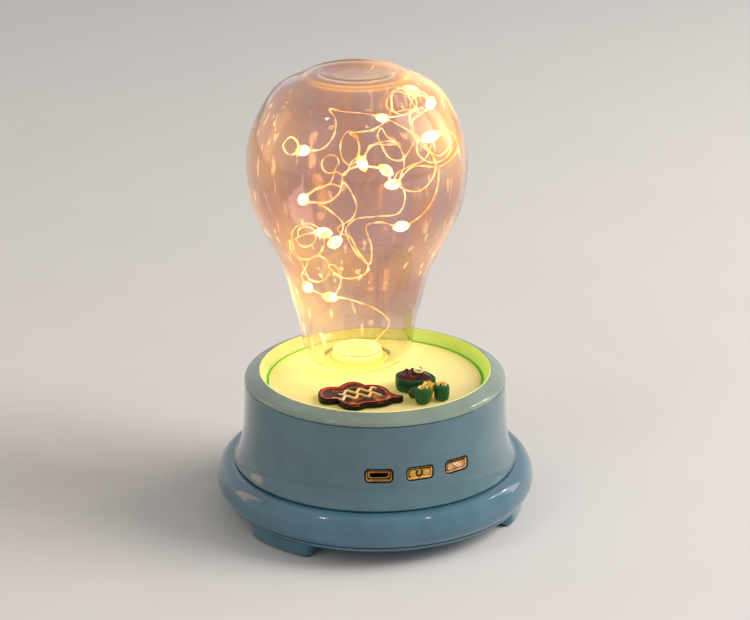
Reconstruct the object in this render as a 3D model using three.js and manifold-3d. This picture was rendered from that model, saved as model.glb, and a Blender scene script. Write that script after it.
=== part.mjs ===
// A speaker night lamp: a flared round base with a loudspeaker that faces down, a lit dish on top,
// and an upturned glass bulb that holds a string of small lights on a thin wire.
// Millimetres, +Z up. The charging socket and the two buttons face the front, which is -Y.
// The origin is on the base's axis, on the surface that the lamp stands on.
import * as THREE from "three";
import { mergeVertices } from "three/addons/utils/BufferGeometryUtils.js";
import Module from "manifold-3d";

const wasm = await Module();
wasm.setup();

// Fits shared by all pieces
const SEAT_GAP = 0.3; // between pieces that rest on or beside each other
const OVERRUN = 1; // how far a cutter runs past what it cuts

// Base: heights are counted from the surface that the lamp stands on
const FOOT_HEIGHT = 6.2;
const COVER_RIM = 1.3; // thickness of the cover's visible edge
const COVER_WALL = 2;
const SEAM = 0.35; // shadow line between the cover, the ring, the housing and the bezel
const RING_OVERHANG = 11.1; // beyond the housing's top
const RING_BULGE = 5; // how far the round moulding stands out past its centre line
const RING_RISE = 7.7; // from the widest place to the top
const RING_LOWER_RISE = 4.35; // from the bottom edge to the widest place
const RING_TUCK = 2.4; // how far the ring's bottom edge is drawn in
const COVER_INSET = 0.2; // from the ring's bottom edge to the cover's edge
const RING_WALL = 2;
const RING_STEPS = 7;
const SPIGOT_RISE = 3.4; // the ring's inner collar inside the housing
const SPIGOT_WALL = 1.7;

const HOUSING_LIP = 0.5;
const HOUSING_LIP_HEIGHT = 1.2;
const HOUSING_HEIGHT = 31.15;
const HOUSING_TOP_RADIUS = 49.1;
const HOUSING_TAPER = 0.45;
const HOUSING_FLARE = 3.55;
const FLARE_DECAY = 6.2; // height over which the flare falls to 37%
const FLARE_CROWDING = 1.6; // power that draws the wall's steps together at the flare
const HOUSING_WALL = 2;
const LEDGE_THICKNESS = 1.5;
const LEDGE_DROP = 4.05; // from the housing's top to the ledge's upper face
const LEDGE_REACH = 8.1; // inwards from the housing's top radius

const BEZEL_RISE = 3.55;
const BEZEL_WIDTH = 5.9;
const BEZEL_WALL = 1.5;
const BEZEL_EDGE = 0.4;
// Pull of the slope's bend: height and inset at its start, height at its end, as shares of BEZEL_RISE
const BEZEL_BEND_SHARES = [0.38, 0.62, 0.66];
const SKIRT_DEPTH = 3;
const SKIRT_WALL = 1.6;

const DISC_INSET = 3.2; // from the bezel's inner edge
const DISC_THICKNESS = 2;
const DISH_DEPTH = 4.3; // from the bezel's inner edge down to the disc
const LINER_WALL = 1.5;
const LINER_FLANGE = 1.2;
const LINER_FLANGE_REACH = 4; // inwards from the disc's edge
const GROOVE = 0.7; // the green line between disc and liner

// Glass bulb
const BULB_SETBACK = 19.4; // from the disc's rear edge forwards to the bulb's axis
const BULB_RADIUS = 41.4;
const BULB_HEIGHT = 114.2;
const GLASS_WALL = 1.8;
const MOUTH_RADIUS = 11.9;
const MOUTH_LIP = 2;
// Outline from the foot to the crest of the top, as shares of BULB_RADIUS and BULB_HEIGHT.
const BULB_OUTLINE_SHARES = [
  [0.33, 0], [0.434, 0.014], [0.492, 0.046], [0.527, 0.107], [0.556, 0.168], [0.59, 0.211],
  [0.646, 0.294], [0.733, 0.375], [0.848, 0.458], [0.945, 0.54], [0.989, 0.622],
  [1, 0.703], [0.957, 0.788], [0.86, 0.869], [0.718, 0.938], [0.53, 0.974], [0.335, 1],
];
const PUNT_SHARES = [[0.28, 0.994], [0.2, 0.986], [0.11, 0.983], [0, 0.982]];
const OUTLINE_STEPS = 16;
const PLUG_RADIUS = 9.3;
const PLUG_RISE = 5.4; // above the disc
const PLUG_EDGE = 0.6;
const COLLAR_RADIUS = 11.5;
const COLLAR_HEIGHT = 1.5;
const STEM_RADIUS = 8.4;
const NUT_RADIUS = 12.8;
const NUT_HEIGHT = 2.4;
const NUT_SIDES = 6;

// Front: one window each for the charging socket, the power button and the mode button
const WINDOW_HEIGHT_ABOVE_FLOOR = 32.8;
const WINDOW_WIDTH = 10.4;
const WINDOW_HEIGHT = 5.3;
const WINDOW_CORNER = 1.6;
const WINDOW_SPACING_DEGREES = 17.6;
const FRAME_EDGE = 0.75;
const FRAME_RECESS = 0.45; // frame's front face behind the housing's surface
const FRAME_FLANGE = 1.1;
const FRAME_FLANGE_MARGIN = 0.85;
const FRAME_SET_BACK = 3.05; // from the housing's surface to the frame's flange
const BUTTON_TRAVEL = 0.4;
const BUTTON_RECESS = 0.25; // button's face behind its frame
const BUTTON_FLANGE = 0.8;
const BUTTON_FLANGE_MARGIN = 0.5;
const STEM_WIDTH = 2.4;
const STEM_HEIGHT = 1.6;
const STEM_REACH = 2.6; // behind the frame's flange
const ICON_RISE = 0.2;
const ICON_LINE = 0.35;
const ICON_RADIUS = 0.85;
const POWER_GAP_DEGREES = 38; // each side of the top
const POWER_BAR_SHARE = 0.7; // how far above the centre the bar's middle lies
// Heart, from its tip over the left lobe and back: two bends and an end for each half
const HEART_TIP_SHARE = -1;
const HEART_SHARES = [
  [-1.9, 0.2, -0.9, 1.5, 0, 0.55],
  [0.9, 1.5, 1.9, 0.2, 0, HEART_TIP_SHARE],
];
const SWITCH_DEPTH = 4;
const SWITCH_WIDTH = 6;
const SWITCH_HEIGHT = 3;
const PLUNGER_LENGTH = 1.6;
const PLUNGER_RADIUS = 0.7;
const PLUNGER_INSIDE = 0.8; // how much of it lies in the switch
const PLUNGER_SIDES = 10;

// Charging socket, micro size
const SOCKET_WIDTH = 7.5;
const SOCKET_HEIGHT = 2.5;
const SOCKET_DEPTH = 7.6;
const SOCKET_WALL = 0.3;
const SOCKET_TAPER = 0.75; // how much each lower corner is drawn in
const SOCKET_RECESS = 1.3; // behind the housing's surface
const SOCKET_BACK_WALL = 0.6;
const TONGUE_WIDTH = 3.7;
const TONGUE_THICKNESS = 0.6;
const TONGUE_LENGTH = 4.6;

// Circuit board
const BOARD_THICKNESS = 1.6;
const BOARD_INSET = 5.3; // from the housing's top radius
const BOARD_SPREAD_DEGREES = 35;
const BOARD_DEPTH = 22.8; // from its rounded front edge to its back edge
const BOARD_POST_MARGIN = 5.12; // from the board's side edge
const BOARD_POST_INSET = 11.8; // behind the board's rounded front edge
const BOARD_POST_RADIUS = 3;
const MODULE_WIDTH = 14;
const MODULE_DEPTH = 9;
const MODULE_HEIGHT = 2;
const MODULE_INSET = 15.8; // from the board's front edge to the module's middle

// Loudspeaker, cone down
const SPEAKER_SQUARE = 52;
const SPEAKER_CORNER = 4;
const SPEAKER_FLANGE = 1.5;
const SPEAKER_OPENING = 21.8;
const SPEAKER_SCREW_SQUARE = 43;
const GRILLE_OPENING = 22;
const GRILLE_MARGIN = 2.5;
const GRILLE_THICKNESS = 0.6;
const GRILLE_HOLE_RADIUS = 2.3;
const GRILLE_ROW_DISTANCE = 7.6;
const GRILLE_RING_COUNT = 2;
const GRILLE_HOLE_SIDES = 6;
const GASKET_THICKNESS = 1;
const GASKET_INNER_RADIUS = 22.2;
const GASKET_WIDTH = 3.3;
const BASKET_HEIGHT = 9.2;
const BASKET_TOP_RADIUS = 16.2;
const BASKET_WALL = 1;
const BASKET_TOP_THICKNESS = 0.9;
const BASKET_WINDOW_COUNT = 4;
const BASKET_WINDOW_HEIGHT = 4.6;
const BASKET_WINDOW_WIDTH = 15;
const TOP_PLATE_RADIUS = 16;
const TOP_PLATE_THICKNESS = 2;
const MAGNET_RADIUS = 17.5;
const MAGNET_THICKNESS = 6;
const MAGNET_BORE_RADIUS = 9.5;
const YOKE_THICKNESS = 2;
const POLE_RADIUS = 6.6;
const COIL_RADIUS = 6.95;
const COIL_WALL = 0.65;
const COIL_LENGTH = 8.2;
const COIL_CLEARANCE = 0.45; // between the coil and the top plate
const CONE_TRAVEL = 0.8;
const CONE_RADIUS = 17.6;
const CONE_WALL = 0.5;
const CONE_DEPTH = 5.4;
const DUST_CAP_RISE = 1.8;
const ROLL_WIDTH = 3.5;
const ROLL_WALL = 0.5;
const SPIDER_WALL = 0.5;
const SPIDER_WAVE = 0.7;
const SPIDER_WAVE_COUNT = 2;
const SPIDER_OUTER_RADIUS = 15.4;

// Battery cell behind the loudspeaker
const CELL_RADIUS = 7.1;
const CELL_LENGTH = 50;
const CELL_INSET = 12.5; // from the rear screw forwards to the cell's axis
const CELL_CAP_RADIUS = 2.9;
const CELL_CAP_RISE = 0.9;
const CRADLE_BASE = 1.2;
const CRADLE_FRONT = 3.4; // the cradle's front edge lies this far in front of the cell's axis
const CRADLE_REAR = 9;
const CRADLE_BASE_REAR = 7.4; // its base stops short of the rear screw cup
const CRADLE_RISE = 11;
const SADDLE_X = 18;
const SADDLE_WIDTH = 3;
const CELL_LIFT = 5.4; // from the cover's inner face to the underside of the cell

// Fasteners
const BOSS_INSET = 6.6; // from the housing's top radius to the screws' axes
const SCREW_RADIUS = 1.3;
const SCREW_HEAD_RADIUS = 2.7;
const SCREW_HEAD_HEIGHT = 1.7;
const COVER_SCREW_LENGTH = 12;
const SMALL_SCREW_RADIUS = 1;
const SMALL_HEAD_RADIUS = 2;
const SMALL_HEAD_HEIGHT = 1.3;
const SMALL_SCREW_LENGTH = 4.8;
const SPEAKER_PILOT = 3.3;
const BOARD_SCREW_LENGTH = 6;
const BOSS_RADIUS = 4;
const BOSS_TOP_CLEARANCE = 9; // below the ledge
const BOSS_WEB = 2;
const CUP_WALL = 1.5;
// Pan head: radius of its flat as a share of the head's radius, height of its edge as a share of its height
const HEAD_FLAT_SHARE = 0.8;
const HEAD_EDGE_SHARE = 0.6;

// Feet and pads
const FOOT_INSET = 1.1; // from the cover's edge
const FOOT_DEPTH = 9.5;
const FOOT_HALF_DEGREES = 16.5;
const FOOT_CORNER_RADIUS = 3.2; // corners seen from above
const FOOT_EDGE = 1.5; // rounding of the lower edge
const PAD_PROUD = 0.5;
const PAD_SUNK = 0.8;
const PAD_INSET = 1.7;
const FOOT_TURN_DEGREES = { left: -60, right: 60, rear: 180 };

// Ornaments glued to the disc
const PLAQUE_WIDTH = 30;
const PLAQUE_DEPTH = 22.6;
const PLAQUE_THICKNESS = 2.4;
const PLAQUE_BEVEL = 0.6;
const PLAQUE_X = -12.9;
const PLAQUE_FRONT_GAP = 22; // from the disc's front edge back to the plaque's middle
// Cloud with a tail, walked clockwise: each row is the bend and the end of one curve, as shares of
// the width and the depth counted from the middle.
const CLOUD_SHARES = [
  [0.09, 0.68, 0.17, 0.3], [0.4, 0.27, 0.39, -0.08], [0.39, -0.26, 0.5, -0.32], [0.5, -0.44, 0.35, -0.4],
  [0.21, -0.54, -0.01, -0.44], [-0.28, -0.62, -0.31, -0.13], [-0.51, -0.13, -0.49, 0.1],
  [-0.43, 0.52, -0.16, 0.37],
];
const BOWL_LENGTH = 15.6;
const BOWL_WIDTH = 13;
const BOWL_HEIGHT = 5.3;
const BOWL_WALL = 0.9;
const BOWL_BEVEL = 0.6;
const BOWL_X = 10.4;
const BOWL_FRONT_GAP = 24;
const BOWL_TURN_DEGREES = -38;
// Egg-shaped outline that runs to a soft point at one end, as shares of the bowl's length and width
const EGG_SHARES = [
  [-0.5, 0], [-0.36, 0.36], [0, 0.5], [0.32, 0.32], [0.5, 0.02], [0.3, -0.3], [0, -0.47], [-0.36, -0.36],
];
const MOUND_RISE = 2.8;
const MOUND_SPREAD_SHARE = 0.52; // half the dome's spread, of the bowl's length and width
// Lumps in the mound: place along the length and the width, then radius as a share of the width
const LUMP_SHARES = [[-0.22, 0.05, 0.12], [-0.13, -0.14, 0.1], [-0.2, 0.2, 0.09], [-0.05, 0.17, 0.09]];
const LUMP_LIFT_SHARE = 0.45; // of MOUND_RISE
const CREAM_RING_RADIUS = 1.5;
const CREAM_RING_WIRE = 0.6;
const CUP_HEIGHT = 6.4;
const CUP_RADIUS = 2.9;
const CUP_BORE = 1.3;
const CUP_BORE_DEPTH = 1.2;
// Outside of a cup from its foot to its lip, as shares of CUP_RADIUS and CUP_HEIGHT
const CUP_SHARES = [[0.82, 0], [0.97, 0.15], [1, 0.5], [0.93, 0.8], [0.72, 0.97], [0.6, 1]];
const CUP_LIP_SHARE = 0.95; // height of the bore's edge, of CUP_HEIGHT
const CUP_TAPER_SHARE = 0.8; // radius at the bore's floor, of CUP_BORE
const EGG_RADIUS = 2.2;
const EGG_HEIGHT = 4.5;
const FLAKE_LOWER_RADIUS = 1.5;
const FLAKE_UPPER_RADIUS = 1.9;
const FLAKE_HEIGHT = 5.6;
const FLAKE_SIDES = 7;
// Places on the disc, across and forwards, as shares of the disc's radius
const CUP_LEFT_SHARES = [0.21, -0.734];
const CUP_RIGHT_SHARES = [0.4025, -0.711];
const EGG_PLACE_SHARES = [0.17, -0.6075];
const FLAKE_PLACE_SHARES = [0.29625, -0.65];

// String of small lights on one wire, and the leads inside the base
const WIRE_RADIUS = 0.32;
const WIRE_SIDES = 5;
const WIRE_BORE = 0.7;
const WIRE_EXIT_X = 5.5; // where the wire leaves the plug, from the plug's axis
const WIRE_EXIT_Y = -1.5;
const LIGHT_RADIUS = 1.7;
const LIGHT_LENGTH_SHARE = 1.25;
const LEAST_GAP = 0.4;
const LOOP_POINT_COUNT = 8;
const SAMPLE_COUNT = 2; // rings for each stretch between two points of a route
const VIEW_DEGREES = -19.2;
const LEAD_RADIUS = 0.6;
const LEAD_SIDES = 6;

// Facets
const BIG_SIDES = 36;
const GLASS_SIDES = 20;
const SPEAKER_SIDES = 16;
const SMALL_SIDES = 8;

// Radii and places worked out from the sizes above
const ringRadius = HOUSING_TOP_RADIUS + RING_OVERHANG;
const ringFootRadius = ringRadius - RING_TUCK;
const coverRadius = ringFootRadius - COVER_INSET;
const footRadius = coverRadius - FOOT_INSET;
const screwCircle = HOUSING_TOP_RADIUS - BOSS_INSET;
const bezelInner = HOUSING_TOP_RADIUS - BEZEL_WIDTH;
const discRadius = bezelInner - DISC_INSET;
const boardRadius = HOUSING_TOP_RADIUS - BOARD_INSET;
const boardPostX = boardRadius * Math.sin(THREE.MathUtils.degToRad(BOARD_SPREAD_DEGREES)) - BOARD_POST_MARGIN;
const boardPostY = boardRadius - BOARD_POST_INSET;
const bulbOffset = discRadius - BULB_SETBACK;
const cellY = screwCircle - CELL_INSET;

// Heights worked out from the sizes above
const coverTop = FOOT_HEIGHT + COVER_WALL;
const ringBottom = FOOT_HEIGHT + COVER_RIM + SEAM;
const ringWidest = ringBottom + RING_LOWER_RISE;
const ringTop = ringWidest + RING_RISE;
const housingBottom = ringTop + SEAT_GAP;
const flareStart = housingBottom + HOUSING_LIP_HEIGHT;
const housingTop = housingBottom + HOUSING_HEIGHT;
const ledgeTop = housingTop - LEDGE_DROP;
const bezelBottom = housingTop + SEAM;
const bezelTop = bezelBottom + BEZEL_RISE;
const discTop = bezelTop - DISH_DEPTH;
const discBottom = discTop - DISC_THICKNESS;
const boardTop = WINDOW_HEIGHT_ABOVE_FLOOR - SOCKET_HEIGHT / 2 - SEAT_GAP / 2;
const grilleBottom = coverTop + SEAT_GAP;
const gasketBottom = grilleBottom + GRILLE_THICKNESS + SEAT_GAP;
const basketBottom = gasketBottom + GASKET_THICKNESS + SEAT_GAP;
const basketTop = basketBottom + SPEAKER_FLANGE + BASKET_HEIGHT;
const topPlateBottom = basketTop + SEAT_GAP;
const magnetBottom = topPlateBottom + TOP_PLATE_THICKNESS + SEAT_GAP;
const yokeBottom = magnetBottom + MAGNET_THICKNESS + SEAT_GAP;
const cellAxis = coverTop + CELL_LIFT + CELL_RADIUS;
const bulbFoot = discTop + SEAT_GAP;

// Geometry helpers
const radians = THREE.MathUtils.degToRad;
const point = (x, y) => new THREE.Vector2(x, y);

function closed(geometry) {
  const bare = geometry.index ? geometry.toNonIndexed() : geometry.clone();
  bare.deleteAttribute("normal");
  bare.deleteAttribute("uv");
  return mergeVertices(bare);
}

function solid(geometry, { x = 0, y = 0, z = 0, turn = 0 } = {}) {
  const placed = closed(geometry).rotateZ(radians(turn)).translate(x, y, z);
  return new wasm.Manifold(
    new wasm.Mesh({
      numProp: 3,
      vertProperties: placed.getAttribute("position").array,
      triVerts: new Uint32Array(placed.index.array),
    }),
  );
}

function geometryOf(manifold) {
  const { vertProperties, triVerts } = manifold.getMesh();
  const geometry = new THREE.BufferGeometry();
  geometry.setAttribute("position", new THREE.BufferAttribute(vertProperties, 3));
  geometry.setIndex(new THREE.BufferAttribute(triVerts, 1));
  const flat = geometry.toNonIndexed();
  flat.computeVertexNormals();
  return flat;
}

// A profile of [radius, height] points turned about +Z; it closes on itself or ends on the axis.
function revolved(profile, sides) {
  const points = profile.map(([radius, height]) => point(radius, height));
  if (points[0].x > 0 || points.at(-1).x > 0) points.push(points[0].clone());
  if (THREE.ShapeUtils.area(points) < 0) points.reverse();
  return new THREE.LatheGeometry(points, sides).rotateX(Math.PI / 2);
}

function disc(radius, bottom, height, sides) {
  return revolved([[0, bottom], [radius, bottom], [radius, bottom + height], [0, bottom + height]], sides);
}

function ring(outer, inner, bottom, height, sides) {
  const top = bottom + height;
  return revolved([[inner, bottom], [outer, bottom], [outer, top], [inner, top]], sides);
}

function roundedRectangle(width, height, corner) {
  const shape = new THREE.Shape();
  const x = width / 2 - corner;
  const y = height / 2 - corner;
  shape.absarc(x, y, corner, 0, Math.PI / 2);
  shape.absarc(-x, y, corner, Math.PI / 2, Math.PI);
  shape.absarc(-x, -y, corner, Math.PI, Math.PI * 1.5);
  shape.absarc(x, -y, corner, Math.PI * 1.5, Math.PI * 2);
  shape.closePath();
  return shape;
}

// A round outline with its own number of sides, for discs and for the holes in them
function circle(radius, sides, x = 0, y = 0, Kind = THREE.Path) {
  const corner = (_, i) => {
    const angle = (i / sides) * Math.PI * 2;
    return point(x + radius * Math.cos(angle), y + radius * Math.sin(angle));
  };
  return new Kind(Array.from({ length: sides }, corner));
}

function extruded(shape, depth, curveSegments = 4, bevel = 0, bevelSegments = 2) {
  return new THREE.ExtrudeGeometry(shape, {
    depth: depth - 2 * bevel,
    curveSegments,
    bevelEnabled: bevel > 0,
    bevelSize: bevel,
    bevelOffset: -bevel,
    bevelThickness: bevel,
    bevelSegments,
  }).translate(0, 0, bevel);
}

// Turns a shape's own x, y and depth into sideways, up and outwards on the front: out is -Y.
function facingFront(geometry, backDistance, height) {
  return geometry.rotateX(Math.PI / 2).translate(0, -backDistance, height);
}

// A round tube through a list of points, with flat ends.
function tube(points, radius, sides) {
  const rings = points.length;
  const tangents = points.map((_, i) =>
    points[Math.min(i + 1, rings - 1)].clone().sub(points[Math.max(i - 1, 0)]).normalize(),
  );
  let across = new THREE.Vector3(1, 0, 0).cross(tangents[0]).normalize();
  if (across.lengthSq() === 0) across = new THREE.Vector3(0, 1, 0);
  const positions = [];
  points.forEach((centre, i) => {
    across.addScaledVector(tangents[i], -across.dot(tangents[i])).normalize();
    const other = tangents[i].clone().cross(across);
    for (let s = 0; s < sides; s++) {
      const angle = (s / sides) * Math.PI * 2;
      const p = centre.clone();
      p.addScaledVector(across, radius * Math.cos(angle)).addScaledVector(other, radius * Math.sin(angle));
      positions.push(p.x, p.y, p.z);
    }
  });
  const indices = [];
  for (let i = 0; i + 1 < rings; i++) {
    for (let s = 0; s < sides; s++) {
      const a = i * sides + s;
      const b = i * sides + ((s + 1) % sides);
      indices.push(a, b, b + sides, a, b + sides, a + sides);
    }
  }
  const last = (rings - 1) * sides;
  for (let s = 1; s + 1 < sides; s++) indices.push(0, s + 1, s, last, last + s, last + s + 1);
  const geometry = new THREE.BufferGeometry();
  geometry.setAttribute("position", new THREE.Float32BufferAttribute(positions, 3));
  return geometry.setIndex(indices);
}

function smoothRoute(places, samplesPerStretch) {
  const curve = new THREE.CatmullRomCurve3(places.map((p) => new THREE.Vector3(...p)));
  return curve.getPoints(samplesPerStretch * (places.length - 1));
}

// Materials
const finish = (color, roughness, metalness = 0, opacity = 1) =>
  new THREE.MeshStandardMaterial({ color, roughness, metalness, opacity, transparent: opacity < 1 });
const bluePlastic = finish(0x8fb4be, 0.25);
const limePlastic = finish(0xb9d84e, 0.4);
const creamPlastic = finish(0xf6eea8, 0.5);
const glass = finish(0xf2dfe4, 0.05, 0, 0.25);
const gold = finish(0xc8964a, 0.3, 1);
const steel = finish(0x9a9ca0, 0.35, 1);
const blackPlastic = finish(0x1b1b1d, 0.5);
const rubber = finish(0x2a2a2c, 0.9);
const boardGreen = finish(0x1e5b34, 0.6);
const ferrite = finish(0x35353a, 0.7);
const paperCone = finish(0x26262a, 0.9);
const copper = finish(0xb87040, 0.4, 1);
const cellWrap = finish(0x3c6fb0, 0.4);
const warmLights = finish(0xe9c27a, 0.3);
const darkResin = finish(0x1d0f0c, 0.2);
const greenResin = finish(0x14502a, 0.25);
const brownResin = finish(0x46100a, 0.15);
const creamResin = finish(0xf0c890, 0.3);
const yellowResin = finish(0xf0b23a, 0.3);
const redWire = finish(0xb02a20, 0.5);

const lamp = new THREE.Group();
function add(name, geometry, material, parent = lamp) {
  const mesh = new THREE.Mesh(geometry, material);
  mesh.name = name;
  parent.add(mesh);
  return mesh;
}
const addSolid = (name, manifold, material, parent) => add(name, geometryOf(manifold), material, parent);

// Outer radius of the housing: a slight taper with a flare that dies away above the ring.
function housingRadius(height) {
  const above = height - flareStart;
  const fall = Math.exp(-above / FLARE_DECAY);
  return HOUSING_TOP_RADIUS + HOUSING_TAPER * (1 - above / (housingTop - flareStart)) + HOUSING_FLARE * fall;
}
const frontSurface = housingRadius(WINDOW_HEIGHT_ABOVE_FLOOR);

// An arc-shaped outline about the base's axis, with round ends of radius corner; it faces -Y.
function arcOutline(outer, inner, halfDegrees, corner) {
  const half = radians(halfDegrees);
  const outerHalf = half - corner / outer;
  const innerHalf = half - corner / inner;
  const at = (radius, angle) => point(radius * Math.sin(angle), -radius * Math.cos(angle));
  const shape = new THREE.Shape();
  const outerEnd = at(outer - corner, half);
  const innerEnd = at(inner + corner, half);
  shape.absarc(0, 0, outer, -Math.PI / 2 - outerHalf, -Math.PI / 2 + outerHalf, false);
  const cornerOut = at(outer, half);
  shape.quadraticCurveTo(cornerOut.x, cornerOut.y, outerEnd.x, outerEnd.y);
  shape.lineTo(innerEnd.x, innerEnd.y);
  const cornerIn = at(inner, half);
  const innerStart = at(inner, innerHalf);
  shape.quadraticCurveTo(cornerIn.x, cornerIn.y, innerStart.x, innerStart.y);
  shape.absarc(0, 0, inner, -Math.PI / 2 + innerHalf, -Math.PI / 2 - innerHalf, true);
  shape.quadraticCurveTo(-cornerIn.x, cornerIn.y, -innerEnd.x, innerEnd.y);
  shape.lineTo(-outerEnd.x, outerEnd.y);
  const outerStart = at(outer, outerHalf);
  shape.quadraticCurveTo(-cornerOut.x, cornerOut.y, -outerStart.x, outerStart.y);
  return shape;
}

// Bottom cover: a plate with a thin edge, an opening for sound, three moulded feet and screw cups
function bottomCover() {
  const stepRadius = ringFootRadius - RING_WALL - SEAT_GAP;
  const rimTop = FOOT_HEIGHT + COVER_RIM;
  const plate = revolved(
    [
      [GRILLE_OPENING, FOOT_HEIGHT],
      [coverRadius - COVER_RIM / 2, FOOT_HEIGHT],
      [coverRadius, FOOT_HEIGHT + COVER_RIM / 2],
      [coverRadius, rimTop],
      [stepRadius, rimTop],
      [stepRadius, coverTop],
      [GRILLE_OPENING, coverTop],
    ],
    BIG_SIDES,
  );
  let cover = solid(plate);
  const footOutline = arcOutline(footRadius, footRadius - FOOT_DEPTH, FOOT_HALF_DEGREES, FOOT_CORNER_RADIUS);
  const pocketOutline = arcOutline(
    footRadius - PAD_INSET,
    footRadius - FOOT_DEPTH + PAD_INSET,
    FOOT_HALF_DEGREES - THREE.MathUtils.radToDeg(PAD_INSET / footRadius),
    FOOT_CORNER_RADIUS / 2,
  );
  const footBlock = extruded(footOutline, 2 * FOOT_HEIGHT, 2, FOOT_EDGE, 1);
  const pocket = extruded(pocketOutline, PAD_SUNK + SEAT_GAP + OVERRUN, 2);
  const trim = solid(disc(coverRadius, 0, FOOT_HEIGHT + COVER_RIM / 2, BIG_SIDES));
  for (const turn of Object.values(FOOT_TURN_DEGREES)) {
    const foot = solid(footBlock, { z: PAD_PROUD, turn }).intersect(trim);
    const padPocket = solid(pocket, { z: PAD_PROUD - OVERRUN, turn });
    cover = cover.add(foot).subtract(padPocket);
  }
  const cupTop = FOOT_HEIGHT + SCREW_HEAD_HEIGHT + SEAT_GAP + CUP_WALL;
  for (const turn of Object.values(FOOT_TURN_DEGREES)) {
    const headRadius = SCREW_HEAD_RADIUS + SEAT_GAP;
    const headDepth = cupTop - CUP_WALL - FOOT_HEIGHT;
    const cup = disc(headRadius + CUP_WALL, coverTop - CUP_WALL, cupTop - coverTop + CUP_WALL, SMALL_SIDES);
    const head = disc(headRadius, FOOT_HEIGHT - OVERRUN, OVERRUN + headDepth, SMALL_SIDES);
    const hole = disc(SCREW_RADIUS + SEAT_GAP, FOOT_HEIGHT, cupTop - FOOT_HEIGHT + OVERRUN, SMALL_SIDES);
    for (const piece of [cup, head, hole]) piece.translate(0, -screwCircle, 0);
    cover = cover.add(solid(cup, { turn })).subtract(solid(head, { turn })).subtract(solid(hole, { turn }));
  }
  for (const [x, y] of speakerScrewPlaces()) {
    const hole = SMALL_SCREW_RADIUS + SEAT_GAP;
    const bossTop = basketBottom - SEAT_GAP;
    const boss = disc(hole + CUP_WALL, coverTop - SEAT_GAP, bossTop - coverTop + SEAT_GAP, SMALL_SIDES);
    const pilot = disc(hole, bossTop - SPEAKER_PILOT, SPEAKER_PILOT + OVERRUN, SMALL_SIDES);
    cover = cover.add(solid(boss, { x, y })).subtract(solid(pilot, { x, y }));
  }
  for (const side of [-1, 1]) {
    const place = { x: side * boardPostX, y: -boardPostY };
    const postTop = boardTop - BOARD_THICKNESS - SEAT_GAP;
    const post = disc(BOARD_POST_RADIUS, coverTop - SEAT_GAP, postTop - coverTop + SEAT_GAP, SMALL_SIDES);
    const pilot = disc(
      SMALL_SCREW_RADIUS + SEAT_GAP, postTop - BOARD_SCREW_LENGTH, BOARD_SCREW_LENGTH + OVERRUN, SMALL_SIDES,
    );
    cover = cover.add(solid(post, place)).subtract(solid(pilot, place));
  }
  return cover;
}

function speakerScrewPlaces() {
  const half = SPEAKER_SCREW_SQUARE / 2;
  return [[-half, -half], [half, -half], [half, half], [-half, half]];
}

function footPad() {
  const inset = PAD_INSET + SEAT_GAP;
  const outline = arcOutline(
    footRadius - inset,
    footRadius - FOOT_DEPTH + inset,
    FOOT_HALF_DEGREES - THREE.MathUtils.radToDeg(inset / footRadius),
    FOOT_CORNER_RADIUS / 2,
  );
  return extruded(outline, PAD_PROUD + PAD_SUNK, 2);
}

// Base ring: a hollow round moulding with a collar that centres the housing
function baseRing() {
  const centre = ringRadius - RING_BULGE;
  const lean = (ringFootRadius - centre) / RING_BULGE;
  const drop = RING_LOWER_RISE / Math.sqrt(1 - lean * lean);
  const arc = (bulge, rise, fall, from, to, count) =>
    Array.from({ length: count + 1 }, (_, i) => {
      const angle = from + ((to - from) * i) / count;
      const height = Math.sin(angle) * (angle < 0 ? fall : rise);
      return [centre + bulge * Math.cos(angle), ringWidest + height];
    });
  const outside = arc(RING_BULGE, RING_RISE, drop, -Math.acos(lean), Math.PI / 2, RING_STEPS);
  const inside = arc(
    RING_BULGE - RING_WALL, RING_RISE - RING_WALL, drop - RING_WALL, Math.PI / 2, -Math.PI / 4, 2,
  );
  const spigotOuter = housingRadius(flareStart) - HOUSING_WALL - SEAT_GAP - HOUSING_LIP;
  const spigotInner = spigotOuter - SPIGOT_WALL;
  return revolved(
    [
      ...outside,
      [spigotOuter, ringTop],
      [spigotOuter - SEAM, ringTop + SPIGOT_RISE],
      [spigotInner - SEAM, ringTop + SPIGOT_RISE],
      [spigotInner, ringTop - RING_WALL],
      ...inside,
      [ringFootRadius - RING_WALL, ringBottom],
    ],
    BIG_SIDES,
  );
}

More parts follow.
